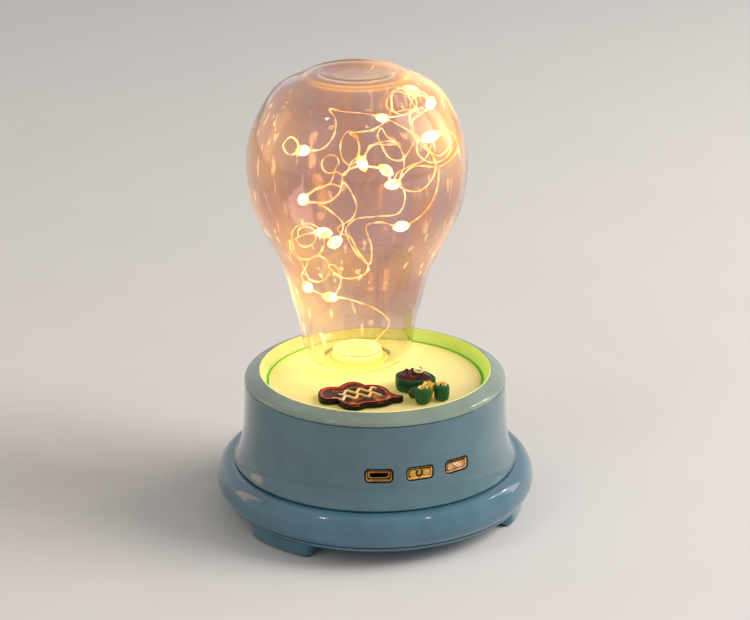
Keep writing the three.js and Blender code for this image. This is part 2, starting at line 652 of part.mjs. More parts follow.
// Housing: flared wall with a lip, a ledge for the dish, three screw bosses and three windows
function housingShell() {
  const wall = (offset, from, to, steps) =>
    Array.from({ length: steps + 1 }, (_, i) => {
      const share = (i / steps) ** FLARE_CROWDING;
      const height = from + (to - from) * share;
      return [housingRadius(height) - offset, height];
    });
  const lipRadius = housingRadius(flareStart) + HOUSING_LIP;
  const inner = wall(HOUSING_WALL, flareStart, ledgeTop - LEDGE_THICKNESS - OVERRUN, 2).reverse();
  const shell = revolved(
    [
      [lipRadius - HOUSING_LIP / 2, housingBottom],
      [lipRadius, housingBottom + HOUSING_LIP / 2],
      [lipRadius, flareStart - HOUSING_LIP / 2],
      ...wall(0, flareStart, housingTop, 6),
      [housingRadius(housingTop) - HOUSING_WALL, housingTop],
      [housingRadius(ledgeTop) - HOUSING_WALL, ledgeTop],
      [HOUSING_TOP_RADIUS - LEDGE_REACH, ledgeTop],
      [HOUSING_TOP_RADIUS - LEDGE_REACH, ledgeTop - LEDGE_THICKNESS],
      ...inner,
      [housingRadius(flareStart) - HOUSING_WALL, housingBottom],
    ],
    BIG_SIDES,
  );
  let housing = solid(shell);
  const bossBottom = FOOT_HEIGHT + SCREW_HEAD_HEIGHT + CUP_WALL + 2 * SEAT_GAP;
  const bossTop = ledgeTop - BOSS_TOP_CLEARANCE;
  const webBottom = ringTop + SPIGOT_RISE + SEAT_GAP + OVERRUN;
  const webReach = housingRadius(bossTop) - HOUSING_WALL / 2 - screwCircle;
  for (const turn of Object.values(FOOT_TURN_DEGREES)) {
    const boss = disc(BOSS_RADIUS, bossBottom, bossTop - bossBottom, SMALL_SIDES);
    const pilot = disc(SCREW_RADIUS + SEAT_GAP, bossBottom - OVERRUN, COVER_SCREW_LENGTH, SMALL_SIDES);
    const web = new THREE.BoxGeometry(BOSS_WEB, webReach, bossTop - webBottom);
    web.translate(0, -webReach / 2, (bossTop + webBottom) / 2);
    for (const piece of [boss, pilot, web]) piece.translate(0, -screwCircle, 0);
    housing = housing.add(solid(boss, { turn })).add(solid(web, { turn })).subtract(solid(pilot, { turn }));
  }
  const opening = facingFront(
    extruded(roundedRectangle(WINDOW_WIDTH, WINDOW_HEIGHT, WINDOW_CORNER), 3 * HOUSING_WALL + OVERRUN, 3),
    frontSurface - 3 * HOUSING_WALL,
    WINDOW_HEIGHT_ABOVE_FLOOR,
  );
  for (const place of [-1, 0, 1]) {
    housing = housing.subtract(solid(opening, { turn: place * WINDOW_SPACING_DEGREES }));
  }
  return housing;
}

// Top bezel: a rounded, sloping ring with a skirt that pushes into the housing
function topBezel() {
  const outer = HOUSING_TOP_RADIUS;
  const [lower, inset, upper] = BEZEL_BEND_SHARES.map((share) => share * BEZEL_RISE);
  const slope = new THREE.CubicBezierCurve(
    point(outer, bezelBottom),
    point(outer, bezelBottom + lower),
    point(outer - inset, bezelBottom + upper),
    point(bezelInner + BEZEL_EDGE, bezelTop),
  );
  const outside = slope.getPoints(5).map((p) => [p.x, p.y]);
  const skirtOuter = outer - HOUSING_WALL - SEAT_GAP;
  const skirtInner = skirtOuter - SKIRT_WALL;
  const skirtBottom = bezelBottom - SKIRT_DEPTH;
  return revolved(
    [
      ...outside,
      [bezelInner, bezelTop - BEZEL_EDGE / 2],
      [bezelInner + BEZEL_EDGE, bezelTop - BEZEL_WALL / 2],
      [skirtInner, bezelTop - BEZEL_WALL - BEZEL_EDGE],
      [skirtInner, skirtBottom],
      [skirtOuter - BEZEL_EDGE, skirtBottom],
      [skirtOuter, skirtBottom + BEZEL_EDGE],
      [skirtOuter, bezelBottom],
    ],
    BIG_SIDES,
  );
}

// Dish liner: a leaning translucent wall on a flange that carries the disc
function dishLiner() {
  const wallTop = bezelTop - BEZEL_WALL / 2 - SEAT_GAP;
  const topRadius = bezelInner - SEAT_GAP / 2;
  const grooveRadius = discRadius + GROOVE;
  const flangeTop = discBottom - SEAT_GAP;
  const flangeBottom = flangeTop - LINER_FLANGE;
  const flangeOuter = HOUSING_TOP_RADIUS - HOUSING_WALL - SKIRT_WALL - 2 * SEAT_GAP;
  const flangeInner = discRadius - LINER_FLANGE_REACH;
  return revolved(
    [
      [flangeInner, flangeBottom],
      [flangeOuter, flangeBottom],
      [flangeOuter, flangeTop],
      [grooveRadius + LINER_WALL, flangeTop],
      [grooveRadius + LINER_WALL, discTop],
      [topRadius + LINER_WALL / 2, wallTop],
      [topRadius, wallTop],
      [grooveRadius, discTop],
      [grooveRadius, flangeTop],
      [flangeInner, flangeTop],
    ],
    BIG_SIDES,
  );
}

function dishDisc() {
  const blank = solid(disc(discRadius, discBottom, DISC_THICKNESS, BIG_SIDES));
  const hole = disc(STEM_RADIUS + SEAT_GAP, discBottom - OVERRUN, DISC_THICKNESS + 2 * OVERRUN, SPEAKER_SIDES);
  return blank.subtract(solid(hole, { y: bulbOffset }));
}

// Moves each point of an outline inwards, square to the outline.
function offsetInwards(outline, distance) {
  return outline.map((p, i) => {
    const before = outline[Math.max(i - 1, 0)];
    const after = outline[Math.min(i + 1, outline.length - 1)];
    const length = Math.hypot(after[0] - before[0], after[1] - before[1]);
    const inRadius = -(after[1] - before[1]) / length;
    const inHeight = (after[0] - before[0]) / length;
    return [Math.max(p[0] + inRadius * distance, 0), p[1] + inHeight * distance];
  });
}

// Glass bulb, mouth down: a thick-walled bulb with a flattened crown pressed in at its centre
function bulbGlass() {
  const shares = [...BULB_OUTLINE_SHARES, ...PUNT_SHARES];
  const anchors = shares.map(([r, h]) => point(r * BULB_RADIUS, h * BULB_HEIGHT));
  const outline = new THREE.SplineCurve(anchors).getPoints(OUTLINE_STEPS).map((p) => [Math.max(p.x, 0), p.y]);
  outline[outline.length - 1] = [0, outline.at(-1)[1]];
  const inside = offsetInwards(outline, GLASS_WALL)
    .filter(([radius, height]) => height > MOUTH_LIP && radius > 0)
    .reverse();
  const crownInside = outline.at(-1)[1] - GLASS_WALL;
  return revolved(
    [
      [0, crownInside],
      ...inside,
      [MOUTH_RADIUS + GLASS_WALL / 2, MOUTH_LIP],
      [MOUTH_RADIUS, MOUTH_LIP / 2],
      [MOUTH_RADIUS, 0],
      ...outline,
    ],
    GLASS_SIDES,
  );
}

// Plug: a spigot in the bulb's mouth on a stem through the disc, with a bore for the wire
function bulbPlug() {
  const stemBottom = discBottom - NUT_HEIGHT - 3 * SEAT_GAP;
  const top = discTop + PLUG_RISE;
  const body = revolved(
    [
      [0, stemBottom],
      [STEM_RADIUS, stemBottom],
      [STEM_RADIUS, discTop + SEAT_GAP],
      [PLUG_RADIUS, discTop + SEAT_GAP],
      [PLUG_RADIUS, top - PLUG_EDGE],
      [PLUG_RADIUS - PLUG_EDGE, top],
      [0, top],
    ],
    SPEAKER_SIDES,
  );
  const bore = disc(WIRE_BORE, stemBottom - OVERRUN, top - stemBottom + 2 * OVERRUN, SMALL_SIDES);
  return solid(body).subtract(solid(bore, { x: WIRE_EXIT_X, y: WIRE_EXIT_Y }));
}

// Window fittings
function windowOutline(margin, corner = Math.max(WINDOW_CORNER - margin, WINDOW_CORNER / 4)) {
  return roundedRectangle(WINDOW_WIDTH - 2 * margin, WINDOW_HEIGHT - 2 * margin, corner);
}

function windowFrame() {
  const front = frontSurface - FRAME_RECESS;
  const flangeFront = frontSurface - FRAME_SET_BACK;
  const flangeBack = flangeFront - FRAME_FLANGE;
  const barrel = extruded(windowOutline(SEAT_GAP), front - flangeBack, 3);
  const flange = extruded(windowOutline(-FRAME_FLANGE_MARGIN), FRAME_FLANGE, 1);
  const hole = extruded(windowOutline(SEAT_GAP + FRAME_EDGE), front - flangeBack + 2 * OVERRUN, 2);
  const toFront = (piece, distance) => solid(facingFront(piece, distance, WINDOW_HEIGHT_ABOVE_FLOOR));
  return toFront(barrel, flangeBack)
    .add(toFront(flange, flangeBack))
    .subtract(toFront(hole, flangeBack - OVERRUN));
}

// A power mark: an open circle with a bar; a heart: two round lobes that run to a point
function powerIcon() {
  const gap = radians(POWER_GAP_DEGREES);
  const arc = new THREE.Shape();
  const from = Math.PI / 2 + gap;
  const to = Math.PI * 2.5 - gap;
  arc.absarc(0, 0, ICON_RADIUS, from, to, false);
  arc.absarc(0, 0, ICON_RADIUS - ICON_LINE, to, from, true);
  arc.closePath();
  const bar = roundedRectangle(ICON_LINE, ICON_RADIUS, ICON_LINE / 4);
  const barMiddle = ICON_RADIUS * POWER_BAR_SHARE;
  return [extruded(arc, 2 * ICON_RISE, 5), extruded(bar, 2 * ICON_RISE, 1).translate(0, barMiddle, 0)];
}

function heartIcon() {
  const heart = new THREE.Shape();
  heart.moveTo(0, ICON_RADIUS * HEART_TIP_SHARE);
  for (const row of HEART_SHARES) heart.bezierCurveTo(...row.map((share) => share * ICON_RADIUS));
  return [extruded(heart, 2 * ICON_RISE, 5)];
}

const capFront = () => frontSurface - FRAME_RECESS - BUTTON_RECESS;
const buttonFlangeFront = () => frontSurface - FRAME_SET_BACK - FRAME_FLANGE - SEAT_GAP;
const stemEnd = () => frontSurface - FRAME_SET_BACK - FRAME_FLANGE - STEM_REACH;

function button(icon) {
  const margin = 2 * SEAT_GAP + FRAME_EDGE;
  const flangeBack = buttonFlangeFront() - BUTTON_FLANGE;
  const height = WINDOW_HEIGHT_ABOVE_FLOOR;
  const cap = extruded(windowOutline(margin), capFront() - flangeBack, 2, ICON_RISE, 1);
  const flange = extruded(windowOutline(margin - BUTTON_FLANGE_MARGIN), BUTTON_FLANGE, 1);
  const stem = extruded(
    roundedRectangle(STEM_WIDTH, STEM_HEIGHT, STEM_HEIGHT / 4), flangeBack - stemEnd() + SEAT_GAP, 1,
  );
  let made = solid(facingFront(cap, flangeBack, height))
    .add(solid(facingFront(flange, flangeBack, height)))
    .add(solid(facingFront(stem, stemEnd(), height)));
  for (const mark of icon) made = made.add(solid(facingFront(mark, capFront() - ICON_RISE, height)));
  return made;
}

function plunger() {
  const pin = extruded(circle(PLUNGER_RADIUS, PLUNGER_SIDES, 0, 0, THREE.Shape), PLUNGER_LENGTH);
  return facingFront(pin, stemEnd() - SEAT_GAP - PLUNGER_LENGTH, WINDOW_HEIGHT_ABOVE_FLOOR);
}

function tactSwitch() {
  const bottom = boardTop + SEAT_GAP;
  const front = stemEnd() - SEAT_GAP - PLUNGER_LENGTH + PLUNGER_INSIDE;
  const body = new THREE.BoxGeometry(SWITCH_WIDTH, SWITCH_DEPTH, SWITCH_HEIGHT);
  body.translate(0, -front + SWITCH_DEPTH / 2, bottom + SWITCH_HEIGHT / 2);
  const bore = circle(PLUNGER_RADIUS + SEAT_GAP, PLUNGER_SIDES, 0, 0, THREE.Shape);
  const depth = PLUNGER_INSIDE + BUTTON_TRAVEL + SEAT_GAP;
  const hole = facingFront(extruded(bore, depth + OVERRUN), front - depth, WINDOW_HEIGHT_ABOVE_FLOOR);
  return solid(body).subtract(solid(hole));
}

// Charging socket: a folded metal shell, wider at the top, with a contact tongue
function socketOutline(margin) {
  const top = SOCKET_WIDTH / 2 - margin;
  const low = top - SOCKET_TAPER;
  const high = SOCKET_HEIGHT / 2 - margin;
  const shape = new THREE.Shape();
  shape.moveTo(-low, -high);
  shape.lineTo(low, -high);
  shape.lineTo(top, -high + SOCKET_TAPER);
  shape.lineTo(top, high);
  shape.lineTo(-top, high);
  shape.lineTo(-top, -high + SOCKET_TAPER);
  shape.closePath();
  return shape;
}

function usbSocket() {
  const back = frontSurface - SOCKET_RECESS - SOCKET_DEPTH;
  const height = WINDOW_HEIGHT_ABOVE_FLOOR + SEAT_GAP / 2;
  const shell = solid(facingFront(extruded(socketOutline(0), SOCKET_DEPTH), back, height));
  const mouth = extruded(socketOutline(SOCKET_WALL), SOCKET_DEPTH - SOCKET_BACK_WALL + OVERRUN);
  return shell.subtract(solid(facingFront(mouth, back + SOCKET_BACK_WALL, height)));
}

function usbTongue() {
  const back = frontSurface - SOCKET_RECESS - SOCKET_DEPTH + SOCKET_BACK_WALL + SEAT_GAP;
  const section = roundedRectangle(TONGUE_WIDTH, TONGUE_THICKNESS, TONGUE_THICKNESS / 4);
  const height = WINDOW_HEIGHT_ABOVE_FLOOR + (SEAT_GAP + TONGUE_THICKNESS) / 2;
  return facingFront(extruded(section, TONGUE_LENGTH, 1), back, height);
}

// Circuit board with an arc front edge
function controlBoard() {
  const half = radians(BOARD_SPREAD_DEGREES);
  const shape = new THREE.Shape();
  shape.absarc(0, 0, boardRadius, -Math.PI / 2 - half, -Math.PI / 2 + half, false);
  shape.lineTo(boardRadius * Math.sin(half), BOARD_DEPTH - boardRadius);
  shape.lineTo(-boardRadius * Math.sin(half), BOARD_DEPTH - boardRadius);
  for (const side of [-1, 1]) {
    const hole = circle(SMALL_SCREW_RADIUS + SEAT_GAP, SMALL_SIDES, side * boardPostX, -boardPostY);
    shape.holes.push(hole);
  }
  return extruded(shape, BOARD_THICKNESS, 6).translate(0, 0, boardTop - BOARD_THICKNESS);
}

function radioModule() {
  const box = new THREE.BoxGeometry(MODULE_WIDTH, MODULE_DEPTH, MODULE_HEIGHT);
  return box.translate(0, MODULE_INSET - boardRadius, boardTop + SEAT_GAP + MODULE_HEIGHT / 2);
}

// A pan-head screw with its head below its shaft
function screw(radius, length, headRadius, headHeight) {
  const profile = [
    [0, -headHeight],
    [headRadius * HEAD_FLAT_SHARE, -headHeight],
    [headRadius, -headHeight * HEAD_EDGE_SHARE],
    [headRadius, 0],
    [radius, 0],
    [radius, length],
    [0, length],
  ];
  return revolved(profile, SMALL_SIDES);
}

// Loudspeaker
function speakerGrille() {
  const plate = circle(GRILLE_OPENING + GRILLE_MARGIN, BIG_SIDES, 0, 0, THREE.Shape);
  plate.holes.push(circle(GRILLE_HOLE_RADIUS, GRILLE_HOLE_SIDES));
  for (let row = 1; row <= GRILLE_RING_COUNT; row++) {
    const count = GRILLE_HOLE_SIDES * row;
    for (let i = 0; i < count; i++) {
      const place = point(row * GRILLE_ROW_DISTANCE, 0).rotateAround(point(0, 0), (i / count) * Math.PI * 2);
      plate.holes.push(circle(GRILLE_HOLE_RADIUS, GRILLE_HOLE_SIDES, place.x, place.y));
    }
  }
  return extruded(plate, GRILLE_THICKNESS, 1).translate(0, 0, grilleBottom);
}

function speakerBasket() {
  const flangeTop = basketBottom + SPEAKER_FLANGE;
  const flange = roundedRectangle(SPEAKER_SQUARE, SPEAKER_SQUARE, SPEAKER_CORNER);
  flange.holes.push(circle(SPEAKER_OPENING, SPEAKER_SIDES));
  for (const [x, y] of speakerScrewPlaces()) {
    flange.holes.push(circle(SMALL_SCREW_RADIUS + SEAT_GAP, SMALL_SIDES, x, y));
  }
  const rise = revolved(
    [
      [SPEAKER_OPENING, flangeTop - SEAT_GAP],
      [SPEAKER_OPENING + BASKET_WALL, flangeTop - SEAT_GAP],
      [BASKET_TOP_RADIUS, basketTop - BASKET_TOP_THICKNESS],
      [BASKET_TOP_RADIUS, basketTop],
      [MAGNET_BORE_RADIUS, basketTop],
      [MAGNET_BORE_RADIUS, basketTop - BASKET_TOP_THICKNESS],
      [BASKET_TOP_RADIUS - BASKET_WALL, basketTop - BASKET_TOP_THICKNESS - BASKET_WALL / 2],
    ],
    SPEAKER_SIDES,
  );
  let basket = solid(extruded(flange, SPEAKER_FLANGE, 2), { z: basketBottom }).add(solid(rise));
  const window = new THREE.BoxGeometry(BASKET_WINDOW_WIDTH, SPEAKER_SQUARE, BASKET_WINDOW_HEIGHT);
  window.translate(0, SPEAKER_SQUARE / 2, flangeTop + BASKET_WINDOW_HEIGHT / 2 + BASKET_WALL);
  for (let i = 0; i < BASKET_WINDOW_COUNT; i++) {
    basket = basket.subtract(solid(window, { turn: (360 * i) / BASKET_WINDOW_COUNT }));
  }
  return basket;
}

function speakerYoke() {
  return revolved(
    [
      [0, topPlateBottom],
      [POLE_RADIUS, topPlateBottom],
      [POLE_RADIUS, yokeBottom],
      [TOP_PLATE_RADIUS, yokeBottom],
      [TOP_PLATE_RADIUS, yokeBottom + YOKE_THICKNESS],
      [0, yokeBottom + YOKE_THICKNESS],
    ],
    SPEAKER_SIDES,
  );
}

const coneRimZ = basketBottom + SPEAKER_FLANGE / 2;
const coneNeckZ = coneRimZ + CONE_DEPTH;
const coilOuter = COIL_RADIUS + COIL_WALL;

function speakerCone() {
  const neck = coilOuter + SEAT_GAP;
  return revolved(
    [
      [CONE_RADIUS, coneRimZ],
      [CONE_RADIUS, coneRimZ + CONE_WALL],
      [neck + CONE_WALL, coneNeckZ + CONE_WALL],
      [neck, coneNeckZ + CONE_WALL],
      [neck, coneNeckZ],
    ],
    SPEAKER_SIDES,
  );
}

function dustCap() {
  const bottom = coneNeckZ - SEAT_GAP;
  const arc = (radius, rise, count) =>
    Array.from({ length: count + 1 }, (_, i) => {
      const angle = (i / count) * (Math.PI / 2);
      return [radius * Math.cos(angle), bottom - rise * Math.sin(angle)];
    });
  const outside = arc(coilOuter, DUST_CAP_RISE, 3);
  outside[3][0] = 0;
  const inside = arc(coilOuter - CONE_WALL, DUST_CAP_RISE - CONE_WALL, 3).reverse();
  inside[0][0] = 0;
  return revolved([...outside, ...inside], SPEAKER_SIDES);
}

function coneSurround() {
  const start = CONE_RADIUS + SEAT_GAP;
  const radius = ROLL_WIDTH / 2;
  const roll = (size, count, back) =>
    Array.from({ length: count + 1 }, (_, i) => {
      const angle = Math.PI * (back ? 1 - i / count : i / count);
      return [start + radius - size * Math.cos(angle), coneRimZ - size * Math.sin(angle)];
    });
  return revolved([...roll(radius, 3, false), ...roll(radius - ROLL_WALL, 3, true)], SPEAKER_SIDES);
}

function coneSpider() {
  const start = coilOuter + SEAT_GAP;
  const level = coneNeckZ + CONE_WALL + SPIDER_WALL + SPIDER_WAVE + SEAT_GAP;
  const steps = 2 * SPIDER_WAVE_COUNT;
  const side = (lift, back) =>
    Array.from({ length: steps + 1 }, (_, k) => {
      const i = back ? steps - k : k;
      const wave = (i % 2 ? 1 : -1) * SPIDER_WAVE;
      return [start + ((SPIDER_OUTER_RADIUS - start) * i) / steps, level + wave / 2 + lift];
    });
  return revolved([...side(0, false), ...side(SPIDER_WALL, true)], SPEAKER_SIDES);
}

// Battery cell and its cradle
function batteryCell() {
  const half = CELL_LENGTH / 2;
  return revolved(
    [
      [0, -half],
      [CELL_RADIUS, -half],
      [CELL_RADIUS, half - CELL_CAP_RISE],
      [CELL_CAP_RADIUS, half - CELL_CAP_RISE],
      [CELL_CAP_RADIUS, half],
      [0, half],
    ],
    SPEAKER_SIDES / 2,
  ).rotateY(Math.PI / 2);
}

function batteryCradle() {
  const bottom = coverTop + SEAT_GAP;
  const half = CELL_LENGTH / 2 + SEAT_GAP + CRADLE_BASE;
  const depth = CRADLE_FRONT + CRADLE_REAR;
  const middle = cellY + (CRADLE_REAR - CRADLE_FRONT) / 2;
  const base = new THREE.BoxGeometry(2 * half, CRADLE_FRONT + CRADLE_BASE_REAR, CRADLE_BASE);
  const baseMiddle = cellY + (CRADLE_BASE_REAR - CRADLE_FRONT) / 2;
  let cradle = solid(base, { y: baseMiddle, z: bottom + CRADLE_BASE / 2 });
  const wall = (x, width) =>
    solid(new THREE.BoxGeometry(width, depth, CRADLE_RISE), { x, y: middle, z: bottom + CRADLE_RISE / 2 });
  for (const side of [-1, 1]) {
    const endWall = wall(side * (half - CRADLE_BASE / 2), CRADLE_BASE);
    cradle = cradle.add(wall(side * SADDLE_X, SADDLE_WIDTH)).add(endWall);
  }
  const room = half - CRADLE_BASE;
  const seat = disc(CELL_RADIUS + SEAT_GAP, -room, 2 * room, SPEAKER_SIDES).rotateY(Math.PI / 2);
  return cradle.subtract(solid(seat, { y: cellY, z: cellAxis }));
}

// Ornaments
function cloudOutline() {
  const at = (x, y) => [x * PLAQUE_WIDTH, y * PLAQUE_DEPTH];
  const shape = new THREE.Shape();
  shape.moveTo(...at(...CLOUD_SHARES.at(-1).slice(2)));
  for (const [bendX, bendY, x, y] of CLOUD_SHARES) {
    shape.quadraticCurveTo(...at(bendX, bendY), ...at(x, y));
  }
  return shape;
}

function eggOutline(margin) {
  const places = EGG_SHARES.map(
    ([x, y]) => new THREE.Vector3(x * (BOWL_LENGTH - 2 * margin), y * (BOWL_WIDTH - 2 * margin), 0),
  );
  const around = new THREE.CatmullRomCurve3(places, true).getPoints(2 * places.length).slice(0, -1);
  return new THREE.Shape(around.map((p) => point(p.x, p.y)));
}

function bowl() {
  const body = solid(extruded(eggOutline(0), BOWL_HEIGHT, 1, BOWL_BEVEL, 1));
  return body.subtract(solid(extruded(eggOutline(BOWL_WALL), BOWL_HEIGHT, 1), { z: BOWL_WALL }));
}

// The bowl's filling: a domed mound with a few small lumps and a flat seat
function mound() {
  const margin = BOWL_WALL + SEAT_GAP;
  const bottom = BOWL_WALL + SEAT_GAP;
  const body = solid(extruded(eggOutline(margin), BOWL_HEIGHT + MOUND_RISE - bottom, 1), { z: bottom });
  const dome = new THREE.SphereGeometry(1, 14, 8).scale(
    BOWL_LENGTH * MOUND_SPREAD_SHARE,
    BOWL_WIDTH * MOUND_SPREAD_SHARE,
    MOUND_RISE + BOWL_WALL,
  );
  let filled = body.intersect(solid(dome, { z: BOWL_HEIGHT - BOWL_WALL }));
  const z = BOWL_HEIGHT + MOUND_RISE * LUMP_LIFT_SHARE;
  for (const [along, aside, size] of LUMP_SHARES) {
    const lump = new THREE.SphereGeometry(size * BOWL_WIDTH, 6, 4);
    filled = filled.add(solid(lump, { x: along * BOWL_LENGTH, y: aside * BOWL_WIDTH, z }));
  }
  return filled;
}

function cup() {
  const outside = CUP_SHARES.map(([across, up]) => [across * CUP_RADIUS, up * CUP_HEIGHT]);
  const floor = CUP_HEIGHT - CUP_BORE_DEPTH;
  const lip = CUP_HEIGHT * CUP_LIP_SHARE;
  return revolved(
    [[0, 0], ...outside, [CUP_BORE, lip], [CUP_BORE * CUP_TAPER_SHARE, floor], [0, floor]],
    SMALL_SIDES,
  );
}

function egg() {
  const ball = new THREE.SphereGeometry(1, 10, 6);
  return ball.scale(EGG_RADIUS, EGG_RADIUS, EGG_HEIGHT / 2).translate(0, 0, EGG_HEIGHT / 2);
}

function flake() {
  return revolved(
    [[0, 0], [FLAKE_LOWER_RADIUS, 0], [FLAKE_UPPER_RADIUS, FLAKE_HEIGHT], [0, FLAKE_HEIGHT]],
    FLAKE_SIDES,
  );
}

// Assembly of the base
addSolid("bottom_cover", bottomCover(), bluePlastic);
for (const [place, azimuth] of Object.entries(FOOT_TURN_DEGREES)) {
  add("foot_pad_" + place, footPad(), rubber).rotation.z = radians(azimuth);
  const spot = new THREE.Group();
  spot.rotation.z = radians(azimuth);
  lamp.add(spot);
  const fixing = add(
    "cover_screw_" + place,
    screw(SCREW_RADIUS, COVER_SCREW_LENGTH - CUP_WALL, SCREW_HEAD_RADIUS, SCREW_HEAD_HEIGHT),
    steel,
    spot,
  );
  fixing.position.set(0, -screwCircle, FOOT_HEIGHT + SCREW_HEAD_HEIGHT);
}
add("base_ring", baseRing(), bluePlastic);
addSolid("housing_shell", housingShell(), bluePlastic);
add("top_bezel", topBezel(), bluePlastic);
add("dish_liner", dishLiner(), limePlastic);
addSolid("dish_disc", dishDisc(), creamPlastic);

// Assembly of the front, one turned group for each window
const windowNames = ["socket", "power", "mode"];
const windowGroups = windowNames.map((name, i) => {
  const group = new THREE.Group();
  group.rotation.z = radians((i - 1) * WINDOW_SPACING_DEGREES);
  lamp.add(group);
  addSolid(name + "_frame", windowFrame(), gold, group);
  return group;
});
addSolid("usb_socket", usbSocket(), steel, windowGroups[0]);
add("usb_tongue", usbTongue(), blackPlastic, windowGroups[0]);
[powerIcon, heartIcon].forEach((icon, i) => {
  const name = windowNames[i + 1];
  const group = windowGroups[i + 1];
  addSolid(name + "_button", button(icon()), gold, group);
  add(name + "_plunger", plunger(), blackPlastic, group);
  addSolid(name + "_switch", tactSwitch(), blackPlastic, group);
});

// Assembly of the board
add("control_board", controlBoard(), boardGreen);
add("radio_module", radioModule(), steel);
for (const [side, sign] of [["left", -1], ["right", 1]]) {
  const fixing = add(
    "board_screw_" + side,
    screw(SMALL_SCREW_RADIUS, BOARD_SCREW_LENGTH, SMALL_HEAD_RADIUS, SMALL_HEAD_HEIGHT).rotateX(Math.PI),
    steel,
  );
  fixing.position.set(sign * boardPostX, -boardPostY, boardTop + SEAT_GAP);
}

// Assembly of the loudspeaker
add("speaker_grille", speakerGrille(), steel);
const speakerRing = (outer, inner, bottom, height) => ring(outer, inner, bottom, height, SPEAKER_SIDES);
const gasketOuter = GASKET_INNER_RADIUS + GASKET_WIDTH;
const coilRoom = coilOuter + COIL_CLEARANCE;
add("speaker_gasket", speakerRing(gasketOuter, GASKET_INNER_RADIUS, gasketBottom, GASKET_THICKNESS), rubber);
addSolid("speaker_basket", speakerBasket(), blackPlastic);
add("speaker_top_plate", speakerRing(TOP_PLATE_RADIUS, coilRoom, topPlateBottom, TOP_PLATE_THICKNESS), steel);
add("speaker_magnet", speakerRing(MAGNET_RADIUS, MAGNET_BORE_RADIUS, magnetBottom, MAGNET_THICKNESS), ferrite);
add("speaker_yoke", speakerYoke(), steel);
add("voice_coil", speakerRing(coilOuter, COIL_RADIUS, coneNeckZ, COIL_LENGTH), copper);
add("speaker_cone", speakerCone(), paperCone);
add("dust_cap", dustCap(), paperCone);
add("cone_surround", coneSurround(), rubber);
add("cone_spider", coneSpider(), creamPlastic);
speakerScrewPlaces().forEach(([x, y], i) => {
  const fixing = add(
    "speaker_screw_" + (i + 1),
    screw(SMALL_SCREW_RADIUS, SMALL_SCREW_LENGTH, SMALL_HEAD_RADIUS, SMALL_HEAD_HEIGHT).rotateX(Math.PI),
    steel,
  );
  fixing.position.set(x, y, basketBottom + SPEAKER_FLANGE + SEAT_GAP);
});
add("battery_cell", batteryCell(), cellWrap).position.set(0, cellY, cellAxis);
addSolid("battery_cradle", batteryCradle(), blackPlastic);

// Assembly of the bulb
const bulb = new THREE.Group();
bulb.position.y = bulbOffset;
lamp.add(bulb);
add("bulb_glass", bulbGlass(), glass, bulb).position.z = bulbFoot;
addSolid("bulb_plug", bulbPlug(), creamPlastic, bulb);
add(
  "plug_collar",
  ring(COLLAR_RADIUS, PLUG_RADIUS + SEAT_GAP, discTop + SEAT_GAP, COLLAR_HEIGHT, SPEAKER_SIDES),
  creamPlastic,
  bulb,
);
const nutBottom = discBottom - SEAT_GAP - NUT_HEIGHT;
const nut = solid(disc(NUT_RADIUS, nutBottom, NUT_HEIGHT, NUT_SIDES)).subtract(
  solid(disc(STEM_RADIUS + SEAT_GAP, nutBottom - OVERRUN, NUT_HEIGHT + 2 * OVERRUN, SPEAKER_SIDES)),
);
addSolid("plug_nut", nut, creamPlastic, bulb);

// String of lights: one wire from the board, through the plug's bore and round the inside of the bulb.
// Leads inside the base are [x, y, z]. Places in the bulb are [across, near, height]: across and near
// are counted from the bulb's axis as it is seen from the front left, height from the lamp's foot.
const STRING_LEAD = [
  [16, -25, 32], [16, -24.6, 34.5], [14.5, -17, 37.5], [11, -2, 38.5], [7.5, 12, 41], [5.6, 18.6, 44.5],
  [5.5, 19.1, 48], [5.5, 19.1, 52], [5.5, 19.1, 56.5],
];

// Points round an upright loop that drifts nearer or farther, so its turns lie clear of each other.
function loop(across, near, height, { wide, high = wide, from, turn, drift }) {
  const count = Math.round((LOOP_POINT_COUNT * Math.abs(turn)) / 360);
  return Array.from({ length: count + 1 }, (_, i) => {
    const angle = radians(from + (turn * i) / count);
    return [across + wide * Math.cos(angle), near + (drift * i) / count, height + high * Math.sin(angle)];
  });
}
const light = (across, near, height) => Object.assign([across, near, height], { lit: true });

